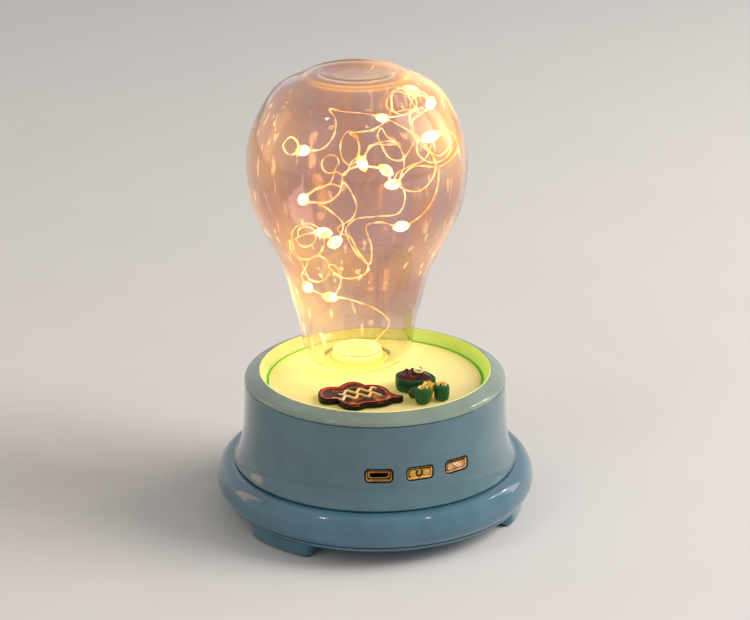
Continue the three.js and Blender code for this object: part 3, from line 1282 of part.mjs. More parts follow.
const STRING_ROUTE = [
  [9.5, 4, 63.5], [12, 7, 69], [8.5, 9, 74], [2.5, 11, 78], [-5, 11, 80.5], light(-10, 10, 80.5),
  [-15, 6, 81], light(-19, 0, 81), [-21.5, -4.5, 84],
  ...loop(-15, -4, 87.5, { wide: 4.6, from: 180, turn: -360, drift: 4.5 }),
  ...loop(-18.5, 4, 101.5, { wide: 6.3, from: 200, turn: -390, drift: 7 }),
  ...loop(-18.5, 13, 106, { wide: 3.5, from: 200, turn: -380, drift: 4.5 }),
  light(-12, 20, 109), light(-8, 19, 105), [-5, 15, 110.5], [-9.5, 13, 115], [-15.5, 8.5, 117],
  light(-20, 4, 116.5), [-16, -2, 118], [-10, -4, 120.5],
  ...loop(-10, -5, 128.5, { wide: 3.2, from: -50, turn: 360, drift: 5 }),
  [-4.5, 2.5, 125.5],
  ...loop(-2.5, 5, 137.5, { wide: 3.5, high: 6.2, from: -80, turn: 530, drift: 5 }),
  [6, 2, 143], [11.5, -5, 145.5],
  ...loop(17.5, -9, 150, { wide: 4.8, from: 190, turn: -450, drift: -4 }),
  light(20.5, -14.5, 153.5),
  ...loop(23.5, -12, 150, { wide: 3.6, from: 60, turn: -380, drift: 4.5 }),
  light(27.5, -5, 151.5), [25, -1, 149], [20.5, 4, 147],
  ...loop(28, 8.5, 139, { wide: 6.3, from: 165, turn: 330, drift: 4 }),
  light(26.5, 15, 144), [32, 13, 145.5], [36, 7, 141], [37, 1, 134], [31.5, -4, 127], [21, -8, 125.5],
  light(13.5, -9.5, 118), light(11, -10, 123.5), light(2, -12, 125.5), [7, -14.5, 132.5],
  [15, -17, 132], [18, -18, 124], [16.5, -18, 117], [18.5, -14, 111.5], [16, -12, 106], [7, -12, 104.5],
  [-1, -14, 102.5], [-4.5, -14, 98], [-1, -11, 91], [4.5, -6, 88], [5.5, -1, 96], [3.5, 4, 106],
  [9, 8, 109], light(16.5, 10, 108), [25, 6, 112], [30, 0, 119], [30.5, -14, 125], [24, -22, 132.5],
  [16.5, -20.5, 138], light(9.5, -16, 143), [2.5, -14, 146], [-5, -12, 147.5], [-10, -9.5, 149],
  [-8, -5, 145.5], [-8.5, 1, 140.5], [-13, 7, 137], light(-19.5, 12, 138), [-24.5, 15.5, 137.5],
  [-26.5, 16, 141], [-24, 13.5, 143.5], [-21.5, 10.5, 140.5], [-22, 8.5, 134.5],
];

function placeInBulb([across, near, height]) {
  const turn = radians(VIEW_DEGREES);
  const x = across * Math.cos(turn) + near * Math.sin(turn);
  const y = across * Math.sin(turn) - near * Math.cos(turn);
  return [x, bulbOffset + y, height];
}

// The least distance between two stretches of the wire that aren't neighbours, less its thickness
function gapToItself(points, radius) {
  const reach = 12 * radius;
  let least = Infinity;
  const along = [0];
  for (let i = 1; i < points.length; i++) along.push(along[i - 1] + points[i].distanceTo(points[i - 1]));
  points.forEach((p, i) => {
    for (let j = i + 1; j < points.length; j++) {
      if (along[j] - along[i] > reach) least = Math.min(least, p.distanceTo(points[j]));
    }
  });
  return least - 2 * radius;
}

function fairyString() {
  const places = [...STRING_LEAD, ...STRING_ROUTE.map(placeInBulb)];
  const fine = smoothRoute(places, 4 * SAMPLE_COUNT);
  const gap = gapToItself(fine, WIRE_RADIUS);
  console.log("string of lights: least gap to itself " + gap.toFixed(2) + " mm, wanted over " + LEAST_GAP);
  let made = solid(tube(smoothRoute(places, SAMPLE_COUNT), WIRE_RADIUS, WIRE_SIDES));
  const ball = new THREE.SphereGeometry(LIGHT_RADIUS, 6, 3);
  const bead = ball.rotateX(Math.PI / 2).scale(1, 1, LIGHT_LENGTH_SHARE);
  for (const place of STRING_ROUTE.filter((p) => p.lit)) {
    const [x, y, z] = placeInBulb(place);
    made = made.add(solid(bead, { x, y, z }));
  }
  return made;
}

addSolid("fairy_string", fairyString(), warmLights);

// Leads from the cell and the loudspeaker to the board
const BATTERY_LEAD = [
  [-27.4, 30, 20], [-29, 29, 20.5], [-31, 20, 24], [-30, 4, 27], [-27, -12, 33], [-23.5, -22, 35],
  [-22.5, -24, 34], [-22.5, -24.2, 32.2],
];
const SPEAKER_LEAD = [
  [-17.6, 0, 19.4], [-19.5, -1, 19.6], [-22.5, -8, 24], [-21.5, -16, 31], [-19, -21, 34.5], [-17, -24, 34],
  [-16.8, -24.4, 32.2],
];
const lead = (places) => tube(smoothRoute(places, SAMPLE_COUNT), LEAD_RADIUS, LEAD_SIDES);
add("battery_lead", lead(BATTERY_LEAD), redWire);
add("speaker_lead", lead(SPEAKER_LEAD), blackPlastic);

// Assembly of the ornaments
const ornaments = new THREE.Group();
ornaments.position.z = discTop + SEAT_GAP;
lamp.add(ornaments);
const slab = extruded(cloudOutline(), PLAQUE_THICKNESS, 3, PLAQUE_BEVEL, 1);
add("cloud_plaque", slab, darkResin, ornaments).position.set(PLAQUE_X, PLAQUE_FRONT_GAP - discRadius, 0);
const tray = new THREE.Group();
tray.position.set(BOWL_X, BOWL_FRONT_GAP - discRadius, 0);
tray.rotation.z = radians(BOWL_TURN_DEGREES);
ornaments.add(tray);
addSolid("ornament_bowl", bowl(), greenResin, tray);
addSolid("ornament_mound", mound(), brownResin, tray);
const creamRing = add(
  "ornament_ring",
  new THREE.TorusGeometry(CREAM_RING_RADIUS, CREAM_RING_WIRE, 6, 12),
  creamResin,
  tray,
);
creamRing.position.z = BOWL_HEIGHT + MOUND_RISE + CREAM_RING_WIRE / 2 + SEAT_GAP / 2;
const setDown = (name, geometry, material, placeShares) =>
  add(name, geometry, material, ornaments).position.set(...placeShares.map((s) => s * discRadius), 0);
setDown("ornament_cup_left", cup(), greenResin, CUP_LEFT_SHARES);
setDown("ornament_cup_right", cup(), greenResin, CUP_RIGHT_SHARES);
setDown("ornament_egg", egg(), greenResin, EGG_PLACE_SHARES);
setDown("ornament_flake", flake(), yellowResin, FLAKE_PLACE_SHARES);

export default lamp;
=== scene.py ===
import math

import bmesh
import bpy
import numpy as np
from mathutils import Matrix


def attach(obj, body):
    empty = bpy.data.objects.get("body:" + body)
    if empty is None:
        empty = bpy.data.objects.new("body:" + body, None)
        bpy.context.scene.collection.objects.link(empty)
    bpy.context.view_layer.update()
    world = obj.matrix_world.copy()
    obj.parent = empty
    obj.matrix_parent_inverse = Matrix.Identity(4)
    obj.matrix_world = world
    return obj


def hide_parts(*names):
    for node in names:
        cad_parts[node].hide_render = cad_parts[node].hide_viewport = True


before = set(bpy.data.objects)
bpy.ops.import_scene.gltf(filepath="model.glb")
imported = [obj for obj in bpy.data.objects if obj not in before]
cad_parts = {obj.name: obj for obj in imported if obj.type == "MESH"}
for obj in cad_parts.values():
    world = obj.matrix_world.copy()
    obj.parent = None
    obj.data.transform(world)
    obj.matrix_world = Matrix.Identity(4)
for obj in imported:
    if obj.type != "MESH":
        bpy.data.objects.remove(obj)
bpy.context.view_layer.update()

# Camera, as the photograph was taken
LENS_MM = 120.4
SENSOR_MM = 36
EYE = (-0.288, -0.827, 0.4079)
TILT_DEGREES = 69.37
TURN_DEGREES = -19.2

scene = bpy.context.scene
lens = bpy.data.cameras.new("camera")
lens.lens, lens.sensor_width = LENS_MM, SENSOR_MM
camera = bpy.data.objects.new("camera", lens)
camera.location = EYE
camera.rotation_euler = (math.radians(TILT_DEGREES), 0, math.radians(TURN_DEGREES))
scene.collection.objects.link(camera)
scene.camera = camera
scene.view_settings.view_transform = "Standard"

# Sizes in millimetres, the same as the solids have
MM = 0.001
TURN = 2 * math.pi
ROUND = 280  # sides of the big turned pieces
MEDIUM = 96  # sides of the middle-sized ones
FINE = 64  # sides of the small ones
BEND_STEPS = 4  # steps round a rounded corner
WELD = 0.0004  # points nearer than this are one
ASKEW = (0.3, 0.5, 0.8)  # a direction that no piece follows

FOOT_HEIGHT = 6.2
COVER_RADIUS = 57.6
COVER_STEP_RADIUS = 55.5
COVER_ROUND = 0.65
COVER_EDGE_TOP = 7.5
COVER_TOP = 8.2
GRILLE_OPENING = 22
GRILLE_RADIUS = 24.5
GRILLE_BOTTOM = 8.5
GRILLE_TOP = 9.1
GRILLE_HOLE = 2.3
GRILLE_ROW = 7.6
FOOT_OUTER = 56.5
FOOT_INNER = 47
FOOT_HALF_DEGREES = 16.5
FOOT_CORNER = 3.2
FOOT_AZIMUTHS = {"left": -60, "right": 60, "rear": 180}
PAD_INSET = 2
PAD_CORNER = 1.4
PAD_HEIGHT = 1.3
SCREW_CIRCLE = 42.5
SCREW_HEAD = 2.7
SCREW_HEAD_TOP = 7.9
SCREW_ROOM = 3
RING_CENTRE = 55.2
RING_BULGE = 5
RING_FOOT = 57.8
RING_BOTTOM = 7.85
RING_WIDEST = 12.2
RING_TOP = 19.9
RING_DROP = 5.0926
RING_WALL = 2
HOUSING_BOTTOM = 20.2
FLARE_START = 21.4
HOUSING_TOP = 51.35
HOUSING_TOP_RADIUS = 49.1
HOUSING_TAPER = 0.45
HOUSING_FLARE = 3.55
FLARE_DECAY = 6.2
HOUSING_WALL = 2
HOUSING_FOOT_INNER = 51.1
HOUSING_ROUND = 0.48
LIP_RADIUS = 53.6
LIP_TOP = 21.3
LEDGE_TOP = 47.3
LEDGE_BOTTOM = 45.8
LEDGE_INNER = 41
BEZEL_BOTTOM = 51.7
BEZEL_TOP = 55.25
BEZEL_OUTER = 49.1
DISC_RADIUS = 40
DISC_TOP = 50.95
DISC_BOTTOM = 48.95
DISC_ROUND = 0.25
STEM_HOLE = 8.7
GROOVE_RADIUS = 40.7
BULB_Y = 20.6
BULB_FOOT = 51.25
WINDOW_LEVEL = 32.8
WINDOW_WIDTH = 10.4
WINDOW_HEIGHT = 5.3
WINDOW_CORNER = 1.6
WINDOW_STEP_DEGREES = 17.6
SURFACE = 49.943  # from the lamp's axis to the housing's surface at the windows
ORNAMENT_FLOOR = 51.25
PLAQUE_FACE = 1.95  # height of the plaque's sunk face


def srgb(code):
    """Linear colour of an sRGB hex value: v / 12.92 below 0.04045, else ((v + 0.055) / 1.055) ** 2.4."""
    value = np.array([int(code[i : i + 2], 16) for i in (1, 3, 5)]) / 255
    linear = np.where(value <= 0.04045, value / 12.92, ((value + 0.055) / 1.055) ** 2.4)
    return (*linear.tolist(), 1.0)


# Shapes. Each gives a list of parts, and a part is (points, faces) in millimetres.
def grid(points, over=False):
    """Quads between neighbours in rows by columns of points; the last column joins the first, and over
    joins the last row to the first."""
    rows, columns = points.shape[:2]
    number = np.arange(rows * columns).reshape(rows, columns)
    number = np.concatenate([number, number[:, :1]], 1)
    if over:
        number = np.concatenate([number, number[:1]], 0)
    quads = np.stack([number[:-1, :-1], number[:-1, 1:], number[1:, 1:], number[1:, :-1]], -1)
    return points.reshape(-1, 3), quads.reshape(-1, 4)


def turned(profile, angles):
    """Rows of points from a profile of (radius, height): x = r sin a, y = -r cos a, z = h."""
    profile = np.asarray(profile, float)
    radius, height = profile[:, :1], profile[:, 1:]
    return np.stack(
        [radius * np.sin(angles), -radius * np.cos(angles), height + 0 * angles[None, :]], -1
    )


def lathe(profile, sides=ROUND, over=False):
    """A profile turned about the upright axis; over closes a profile that doesn't end on the axis."""
    angles = np.arange(sides) * TURN / sides
    return [grid(turned(profile, angles), over=over)]


def rounded(corners, closed=True):
    """An outline of (x, y, radius) corners, each with its radius rounded by the arc that touches both
    sides: the arc turns evenly from one touching point to the other."""
    corners = np.array(corners, float)
    share = np.linspace(0, 1, BEND_STEPS + 1)[:, None]
    made = []
    for i, radius in enumerate(corners[:, 2]):
        here = corners[i, :2]
        if radius == 0 or (not closed and i in (0, len(corners) - 1)):
            made.append(here[None])
            continue
        back = corners[i - 1, :2] - here
        on = corners[(i + 1) % len(corners), :2] - here
        back, on = back / np.linalg.norm(back), on / np.linalg.norm(on)
        half = math.acos(float(back @ on)) / 2
        centre = here + (back + on) / np.linalg.norm(back + on) * radius / math.sin(half)
        first = here + back * radius / math.tan(half) - centre
        last = here + on * radius / math.tan(half) - centre
        sweep = math.pi - 2 * half
        spoke = (np.sin((1 - share) * sweep) * first + np.sin(share * sweep) * last) / math.sin(sweep)
        made.append(centre + spoke)
    return np.concatenate(made)


def swept(outline, section, over=False):
    """A closed outline carried through (inset, height) steps, each drawn inwards along the outline's own
    normals by its inset; flat ends close it unless it goes over into its own start."""
    along = np.roll(outline, -1, 0) - np.roll(outline, 1, 0)
    inward = np.stack([-along[:, 1], along[:, 0]], 1) / np.linalg.norm(along, axis=1, keepdims=True)
    x, y = outline.T
    if np.sum(x * np.roll(y, -1) - np.roll(x, -1) * y) < 0:
        inward = -inward
    section = np.asarray(section, float)
    flat = outline[None] + section[:, :1, None] * inward[None]
    points = np.concatenate([flat, np.repeat(section[:, None, 1:], len(outline), 1)], 2)
    ends = [] if over else [(points[k], np.arange(len(outline))[None]) for k in (0, -1)]
    return [grid(points, over=over), *ends]


def arc(centre, size, start, end, steps):
    """Points on the arc of an ellipse, from one angle in degrees to another."""
    angle = np.radians(np.linspace(start, end, steps + 1))
    return np.stack([centre[0] + size[0] * np.cos(angle), centre[1] + size[1] * np.sin(angle)], 1)


def circle(radius, sides, x=0, y=0):
    """An outline of evenly turned points about (x, y)."""
    return arc((x, y), (radius, radius), 0, 360, sides)[:-1]


CELL_STEPS = ((4, 16), (3, 6))  # half a corner and a straight, along a cell's long and short sides


def soft_rectangle(width, height, corner):
    """A rectangle with round corners: each side starts halfway round one corner, runs straight and ends
    halfway round the next, so that its points pair off with those of a square-cornered cell."""
    x, y = width / 2 - corner, height / 2 - corner
    middles = [(-x, -y), (x, -y), (x, y), (-x, y)]
    made = []
    for i in range(4):
        bend, straight = CELL_STEPS[i % 2]
        start = 225 + 90 * i
        angle = np.concatenate(
            [
                np.linspace(start, start + 45, bend, endpoint=False),
                np.full(straight, start + 45),
                np.linspace(start + 45, start + 90, bend, endpoint=False),
            ]
        )
        share = np.concatenate([np.zeros(bend), np.linspace(0, 1, straight, endpoint=False), np.ones(bend)])
        middle = (1 - share)[:, None] * middles[i] + share[:, None] * middles[(i + 1) % 4]
        made.append(middle + corner * np.stack([np.cos(np.radians(angle)), np.sin(np.radians(angle))], 1))
    return np.concatenate(made)


def filled(loops, height):
    """Flat triangles between an outer outline and the holes in it."""
    shape = bmesh.new()
    for loop in loops:
        corners = [shape.verts.new((*point, height)) for point in loop.tolist()]
        for first, second in zip(corners, corners[1:] + corners[:1]):
            shape.edges.new((first, second))
    bmesh.ops.triangle_fill(shape, use_beauty=True, use_dissolve=False, edges=shape.edges)
    shape.verts.index_update()
    points = np.array([corner.co[:] for corner in shape.verts])
    faces = np.array([[corner.index for corner in face.verts] for face in shape.faces])
    shape.free()
    return [(points, faces)]


def pillar(outline, bottom, top):
    """The upright wall of an outline, open at both ends."""
    rows = [np.column_stack([outline, np.full(len(outline), height)]) for height in (bottom, top)]
    return [grid(np.stack(rows))]


def placed(parts, x=0, y=0, z=0, turn=0):
    """The parts turned about the upright axis by degrees, then moved."""
    c, s = math.cos(math.radians(turn)), math.sin(math.radians(turn))
    spin = np.array([[c, s, 0], [-s, c, 0], [0, 0, 1]])
    return [(points @ spin + (x, y, z), faces) for points, faces in parts]


def facing(parts, turn):
    """Parts drawn sideways, up and outwards from the lamp's axis, set at the windows' level: sideways is
    x, outwards is -y, and the whole is turned about the axis by degrees."""
    swung = [(points[:, [0, 2, 1]] * (1, -1, 1) + (0, 0, WINDOW_LEVEL), faces) for points, faces in parts]
    return placed(swung, turn=turn)


def carried(path):
    """Directions along and across a path; the across one is carried from step to step without twist."""
    ahead = np.gradient(path, axis=0)
    ahead /= np.linalg.norm(ahead, axis=1, keepdims=True)
    across = np.empty_like(ahead)
    side = np.cross(ahead[0], ASKEW)
    for i, direction in enumerate(ahead):
        side = side - direction * (side @ direction)
        side /= np.linalg.norm(side)
        across[i] = side
    return ahead, across


def tube(path, radius, sides):
    """A round section carried along a path: centre + radius (cos a across + sin a other)."""
    ahead, across = carried(path)
    other = np.cross(ahead, across)
    angle = np.arange(sides) * TURN / sides
    size = np.broadcast_to(np.asarray(radius, float), len(path))[:, None, None]
    points = path[:, None] + size * (
        np.cos(angle)[None, :, None] * across[:, None] + np.sin(angle)[None, :, None] * other[:, None]
    )
    return [grid(points), *[(points[k], np.arange(sides)[None]) for k in (0, -1)]]


def spline(anchors, steps):
    """The natural cubic spline by chord length: second derivatives from the three-term equations."""
    anchors = np.asarray(anchors, float)
    reach = np.linalg.norm(np.diff(anchors, axis=0), axis=1)
    place = np.concatenate([[0], np.cumsum(reach)])
    count = len(anchors)
    rows = np.eye(count)
    inner = np.arange(1, count - 1)
    rows[inner, inner - 1] = reach[:-1]
    rows[inner, inner] = 2 * (reach[:-1] + reach[1:])
    rows[inner, inner + 1] = reach[1:]
    slope = np.diff(anchors, axis=0) / reach[:, None]
    wanted = np.zeros_like(anchors)
    wanted[1:-1] = 6 * np.diff(slope, axis=0)
    bend = np.linalg.solve(rows, wanted)
    at = np.linspace(0, place[-1], steps + 1)
    k = np.clip(np.searchsorted(place, at, side="right") - 1, 0, count - 2)
    u = (at - place[k])[:, None]
    h = reach[k][:, None]
    start = slope[k] - h * (2 * bend[k] + bend[k + 1]) / 6
    return anchors[k] + start * u + bend[k] * u**2 / 2 + (bend[k + 1] - bend[k]) / (6 * h) * u**3


def loose_curve(anchors, samples):
    """A centripetal curve through the anchors: each stretch is a cubic whose end slopes come from its
    neighbours, with the square roots of the distances as the spacing."""
    p = np.asarray(anchors, float)
    p = np.concatenate([2 * p[:1] - p[1:2], p, 2 * p[-1:] - p[-2:-1]])
    gap = np.sqrt(np.linalg.norm(np.diff(p, axis=0), axis=1))[:, None]
    step = np.diff(p, axis=0)
    before, here, after = gap[:-2], gap[1:-1], gap[2:]
    leave = here * (step[:-2] / before - (p[2:-1] - p[:-3]) / (before + here) + step[1:-1] / here)
    arrive = here * (step[1:-1] / here - (p[3:] - p[1:-2]) / (here + after) + step[2:] / after)
    t = (np.arange(samples) / samples)[None, :, None]
    a, b, m, n = (v[:, None] for v in (p[1:-2], p[2:-1], leave, arrive))
    made = a + m * t + (3 * (b - a) - 2 * m - n) * t**2 + (2 * (a - b) + m + n) * t**3
    return np.concatenate([made.reshape(-1, 3), p[-2:-1]])


def piece(name, parts, material, body="lamp", slot=None, replaces=(), sharp=38, measure=None):
    """A finished object: the parts welded, faces outwards, shaded smooth up to a bend of sharp degrees.
    measure gives each point a number that its material reads."""
    starts = np.cumsum([0] + [len(points) for points, _ in parts])
    points = np.concatenate([points for points, _ in parts])
    faces = [face for (_, part), start in zip(parts, starts) for face in (part + start).tolist()]
    mesh = bpy.data.meshes.new(name)
    mesh.from_pydata(points.tolist(), [], faces)
    shape = bmesh.new()
    shape.from_mesh(mesh)
    bmesh.ops.remove_doubles(shape, verts=shape.verts, dist=WELD)
    bmesh.ops.recalc_face_normals(shape, faces=shape.faces)
    bmesh.ops.scale(shape, vec=(MM, MM, MM), verts=shape.verts)
    shape.to_mesh(mesh)
    shape.free()
    mesh.shade_smooth()
    mesh.set_sharp_from_angle(angle=math.radians(sharp))
    mesh.materials.append(material)
    if measure:
        places = np.empty(3 * len(mesh.vertices))
        mesh.vertices.foreach_get("co", places)
        kept = mesh.attributes.new(measure.__name__, "FLOAT", "POINT")
        kept.data.foreach_set("value", measure(places.reshape(-1, 3) / MM))
    made = bpy.data.objects.new(name, mesh)
    scene.collection.objects.link(made)
    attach(made, body)
    if replaces:
        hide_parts(*replaces)


# Materials
def per(size):
    """The texture scale at which one cell of a pattern is that many millimetres across."""
    return 1 / (size * MM)


def add(tree, kind, links=(), stops=(), **settings):
    """One node of that kind with its settings; links gives sockets a value or another node's output, and
    stops gives a colour ramp its (position, hex) pairs."""
    node = tree.nodes.new("ShaderNode" + kind)
    for name, value in settings.items():
        setattr(node, name, value)
    if stops:
        elements = node.color_ramp.elements
        while len(elements) < len(stops):
            elements.new(0.5)
        for element, (position, code) in zip(elements, stops):
            element.position, element.color = position, srgb(code)
    for socket, value in dict(links).items():
        if isinstance(value, bpy.types.NodeSocket):
            tree.links.new(value, node.inputs[socket])
        else:
            node.inputs[socket].default_value = value
    return node


def blank(name, sockets):
    """A material with one Principled shader, its even values set on its own sockets, and the object's own
    coordinates for its patterns."""
    made = bpy.data.materials.new(name)
    made.use_nodes = True
    tree = made.node_tree
    shader = tree.nodes["Principled BSDF"]
    for socket, value in sockets.items():
        shader.inputs[socket].default_value = value
    place = add(tree, "TexCoord").outputs["Object"]
    return made, tree, shader, place


def moulded(name, colours, roughness, grain, bump, cloud_size=14, **sockets):
    """A cast or moulded finish: cloudy colour between two near shades, and a fine uneven skin."""
    made, tree, shader, place = blank(name, {"Roughness": roughness, **sockets})
    cloud = add(tree, "TexNoise", {"Vector": place, "Scale": per(cloud_size), "Detail": 3})
    shade = add(
        tree, "ValToRGB", {"Fac": cloud.outputs["Fac"]}, [(0.35, colours[0]), (0.65, colours[1])]
    ).outputs["Color"]
    tree.links.new(shade, shader.inputs["Base Color"])
    skin = add(tree, "TexNoise", {"Vector": place, "Scale": per(grain), "Detail": 4, "Roughness": 0.6})
    relief = add(
        tree, "Bump", {"Height": skin.outputs["Fac"], "Strength": bump, "Distance": 0.2 * MM}
    )
    tree.links.new(relief.outputs["Normal"], shader.inputs["Normal"])
    wear = add(
        tree,
        "MapRange",
        {"Value": cloud.outputs["Fac"], "To Min": max(roughness - 0.04, 0.02), "To Max": roughness + 0.06},
    )
    tree.links.new(wear.outputs["Result"], shader.inputs["Roughness"])
    return made


# Gloss ABS from a polished mould: even, with a faint orange peel in its reflections
POLISHED = {"Coat Weight": 0.6, "Coat Roughness": 0.04}
gloss_abs = moulded("gloss_abs", ("#507380", "#587D8A"), 0.13, 2.2, 0.03, **POLISHED)
# The same plastic on the ring and the cover, in a bluer copy: painted shade, for lying away from the warm
# light
ring_abs = moulded("ring_abs", ("#446E84", "#4C7A90"), 0.12, 2.2, 0.03, **POLISHED)
# The same plastic on the bezel, in a greyer copy: painted light from the dish falling on it
bezel_abs = moulded("bezel_abs", ("#7C9086", "#889C90"), 0.2, 2.2, 0.03, **POLISHED)
# Nickel-plated steel, drawn and pressed: grey metal with soft broken reflections
plated_steel = moulded("plated_steel", ("#8E9094", "#A6A8AC"), 0.32, 0.6, 0.06, Metallic=1.0)
# Black ABS from a spark-eroded mould: a fine even grain that takes the gloss away
grained_abs = moulded("grained_abs", ("#17181A", "#202124"), 0.5, 0.5, 0.2)
# Moulded rubber: dull, with a fine dusty grain
moulded_rubber = moulded("moulded_rubber", ("#232325", "#2E2E30"), 0.85, 0.4, 0.25)
# Pressed paper pulp, dyed black: matt and fibrous
pulp_paper = moulded("pulp_paper", ("#1F1F22", "#2E2E33"), 0.92, 0.7, 0.6)
# Sintered ferrite: dark grey and granular
ferrite = moulded("ferrite", ("#2B2B2F", "#3D3D42"), 0.7, 0.4, 0.4)
# Cotton dipped in phenolic resin and pressed: a matt brown weave
phenolic_cloth = moulded("phenolic_cloth", ("#B98F4C", "#D0A865"), 0.8, 0.5, 0.6)
# Heat-shrunk PVC film on the cell: a tight skin with a soft shine
shrink_film = moulded("shrink_film", ("#2F62A4", "#3D74BA"), 0.35, 1.5, 0.08)
# Extruded PVC insulation of the leads: smooth, with a low shine
red_pvc = moulded("red_pvc", ("#A3231A", "#BC3226"), 0.45, 0.6, 0.08)
black_pvc = moulded("black_pvc", ("#161617", "#242426"), 0.45, 0.6, 0.08)
# Cast resin of the ornaments: bright gloss over colours that the pour left a little uneven
green_resin = moulded("green_resin", ("#0C4524", "#185E34"), 0.24, 1.1, 0.1, **{"Specular IOR Level": 0.35})
cream_resin = moulded("cream_resin", ("#F8CE64", "#FFEEB4"), 0.25, 0.6, 0.1, **{"Coat Weight": 0.3})
butter_resin = moulded("butter_resin", ("#E8B028", "#FFEC8C"), 0.2, 0.9, 0.15, 1.6, **{"Coat Weight": 0.5})
brown_resin = moulded(
    "brown_resin", ("#120303", "#5A1408"), 0.1, 1.6, 0.1, 2.6, **{"Specular IOR Level": 0.3}
)
yellow_resin = moulded("yellow_resin", ("#F0A818", "#FFE468"), 0.25, 0.9, 0.3, 1.8, **{"Coat Weight": 0.4})
red_enamel = moulded("red_enamel", ("#A8120A", "#DC2C18"), 0.2, 0.6, 0.08, **{"Coat Weight": 0.5})
# A soft black that swallows the light, for the rings in the gaps round the window frames: painted shade,
# standing in for the shadow in those gaps
gap_shade_black = moulded("gap_shade_black", ("#050505", "#0A0A0A"), 0.8, 0.5, 0.1, **{"Specular IOR Level": 0.15})


def lacquer_painted_highlights():
    """Black lacquer, poured: near black at the sides, with amber patches on the face that are painted
    highlights of its gloss.
    """
    made, tree, shader, place = blank("lacquer_painted_highlights", {"Roughness": 0.1, "Specular IOR Level": 0.2})
    split = add(tree, "SeparateXYZ", {"Vector": place})
    level = (ORNAMENT_FLOOR + PLAQUE_FACE) * MM
    off = add(tree, "Math", {0: split.outputs["Z"], 1: level}, operation="SUBTRACT")
    off = add(tree, "Math", {0: off.outputs[0]}, operation="ABSOLUTE")
    face = add(
        tree, "MapRange",
        {"Value": off.outputs[0], "From Min": 0.04 * MM, "From Max": 0.1 * MM, "To Min": 1.0, "To Max": 0.0},
    )
    # painted highlights: amber patches on the sunk face
    patch = add(tree, "TexNoise", {"Vector": place, "Scale": per(6), "Detail": 3, "Distortion": 0.6})
    painted_highlight = add(
        tree, "ValToRGB", {"Fac": patch.outputs["Fac"]},
        [(0.46, "#0A0302"), (0.56, "#4A1C06"), (0.68, "#C47A24")],
    ).outputs["Color"]
    black = srgb("#060202")
    shade = add(tree, "Mix", {"Factor": face.outputs["Result"], 6: black, 7: painted_highlight}, data_type="RGBA")
    tree.links.new(shade.outputs[2], shader.inputs["Base Color"])
    skin = add(tree, "TexNoise", {"Vector": place, "Scale": per(3), "Detail": 1})
    relief = add(tree, "Bump", {"Height": skin.outputs["Fac"], "Strength": 0.15, "Distance": 0.3 * MM})
    tree.links.new(relief.outputs["Normal"], shader.inputs["Normal"])
    return made


def lit_plug():
    """Clear yellow polycarbonate, moulded, with a painted glow for the light from below, and thin brown
    painted shadows at its steps.
    """
    made, tree, shader, place = blank(
        "plug_polycarbonate", {"Roughness": 0.15, "Emission Strength": 1.1, "Specular IOR Level": 0.4}
    )
    split = add(tree, "SeparateXYZ", {"Vector": place})
    level = add(tree, "MapRange", {"Value": split.outputs["Z"], "From Min": 51 * MM, "From Max": 57 * MM})
    # painted glow and painted shadows: colour and glow by height, darker in two thin bands at the steps
    shade = add(
        tree, "ValToRGB", {"Fac": level.outputs["Result"]},
        [(0, "#F8F08C"), (0.26, "#FAF07C"), (0.3, "#B88A2C"), (0.34, "#FAF07C"), (0.72, "#FCF4A0"),
         (0.77, "#A87C28"), (0.81, "#FAF080"), (1, "#FFF8B0")],
    ).outputs["Color"]
    tree.links.new(shade, shader.inputs["Base Color"])
    tree.links.new(shade, shader.inputs["Emission Color"])
    return made


GLOW_REACH = 40  # how far the painted glow of a light reaches in the glass, in millimetres
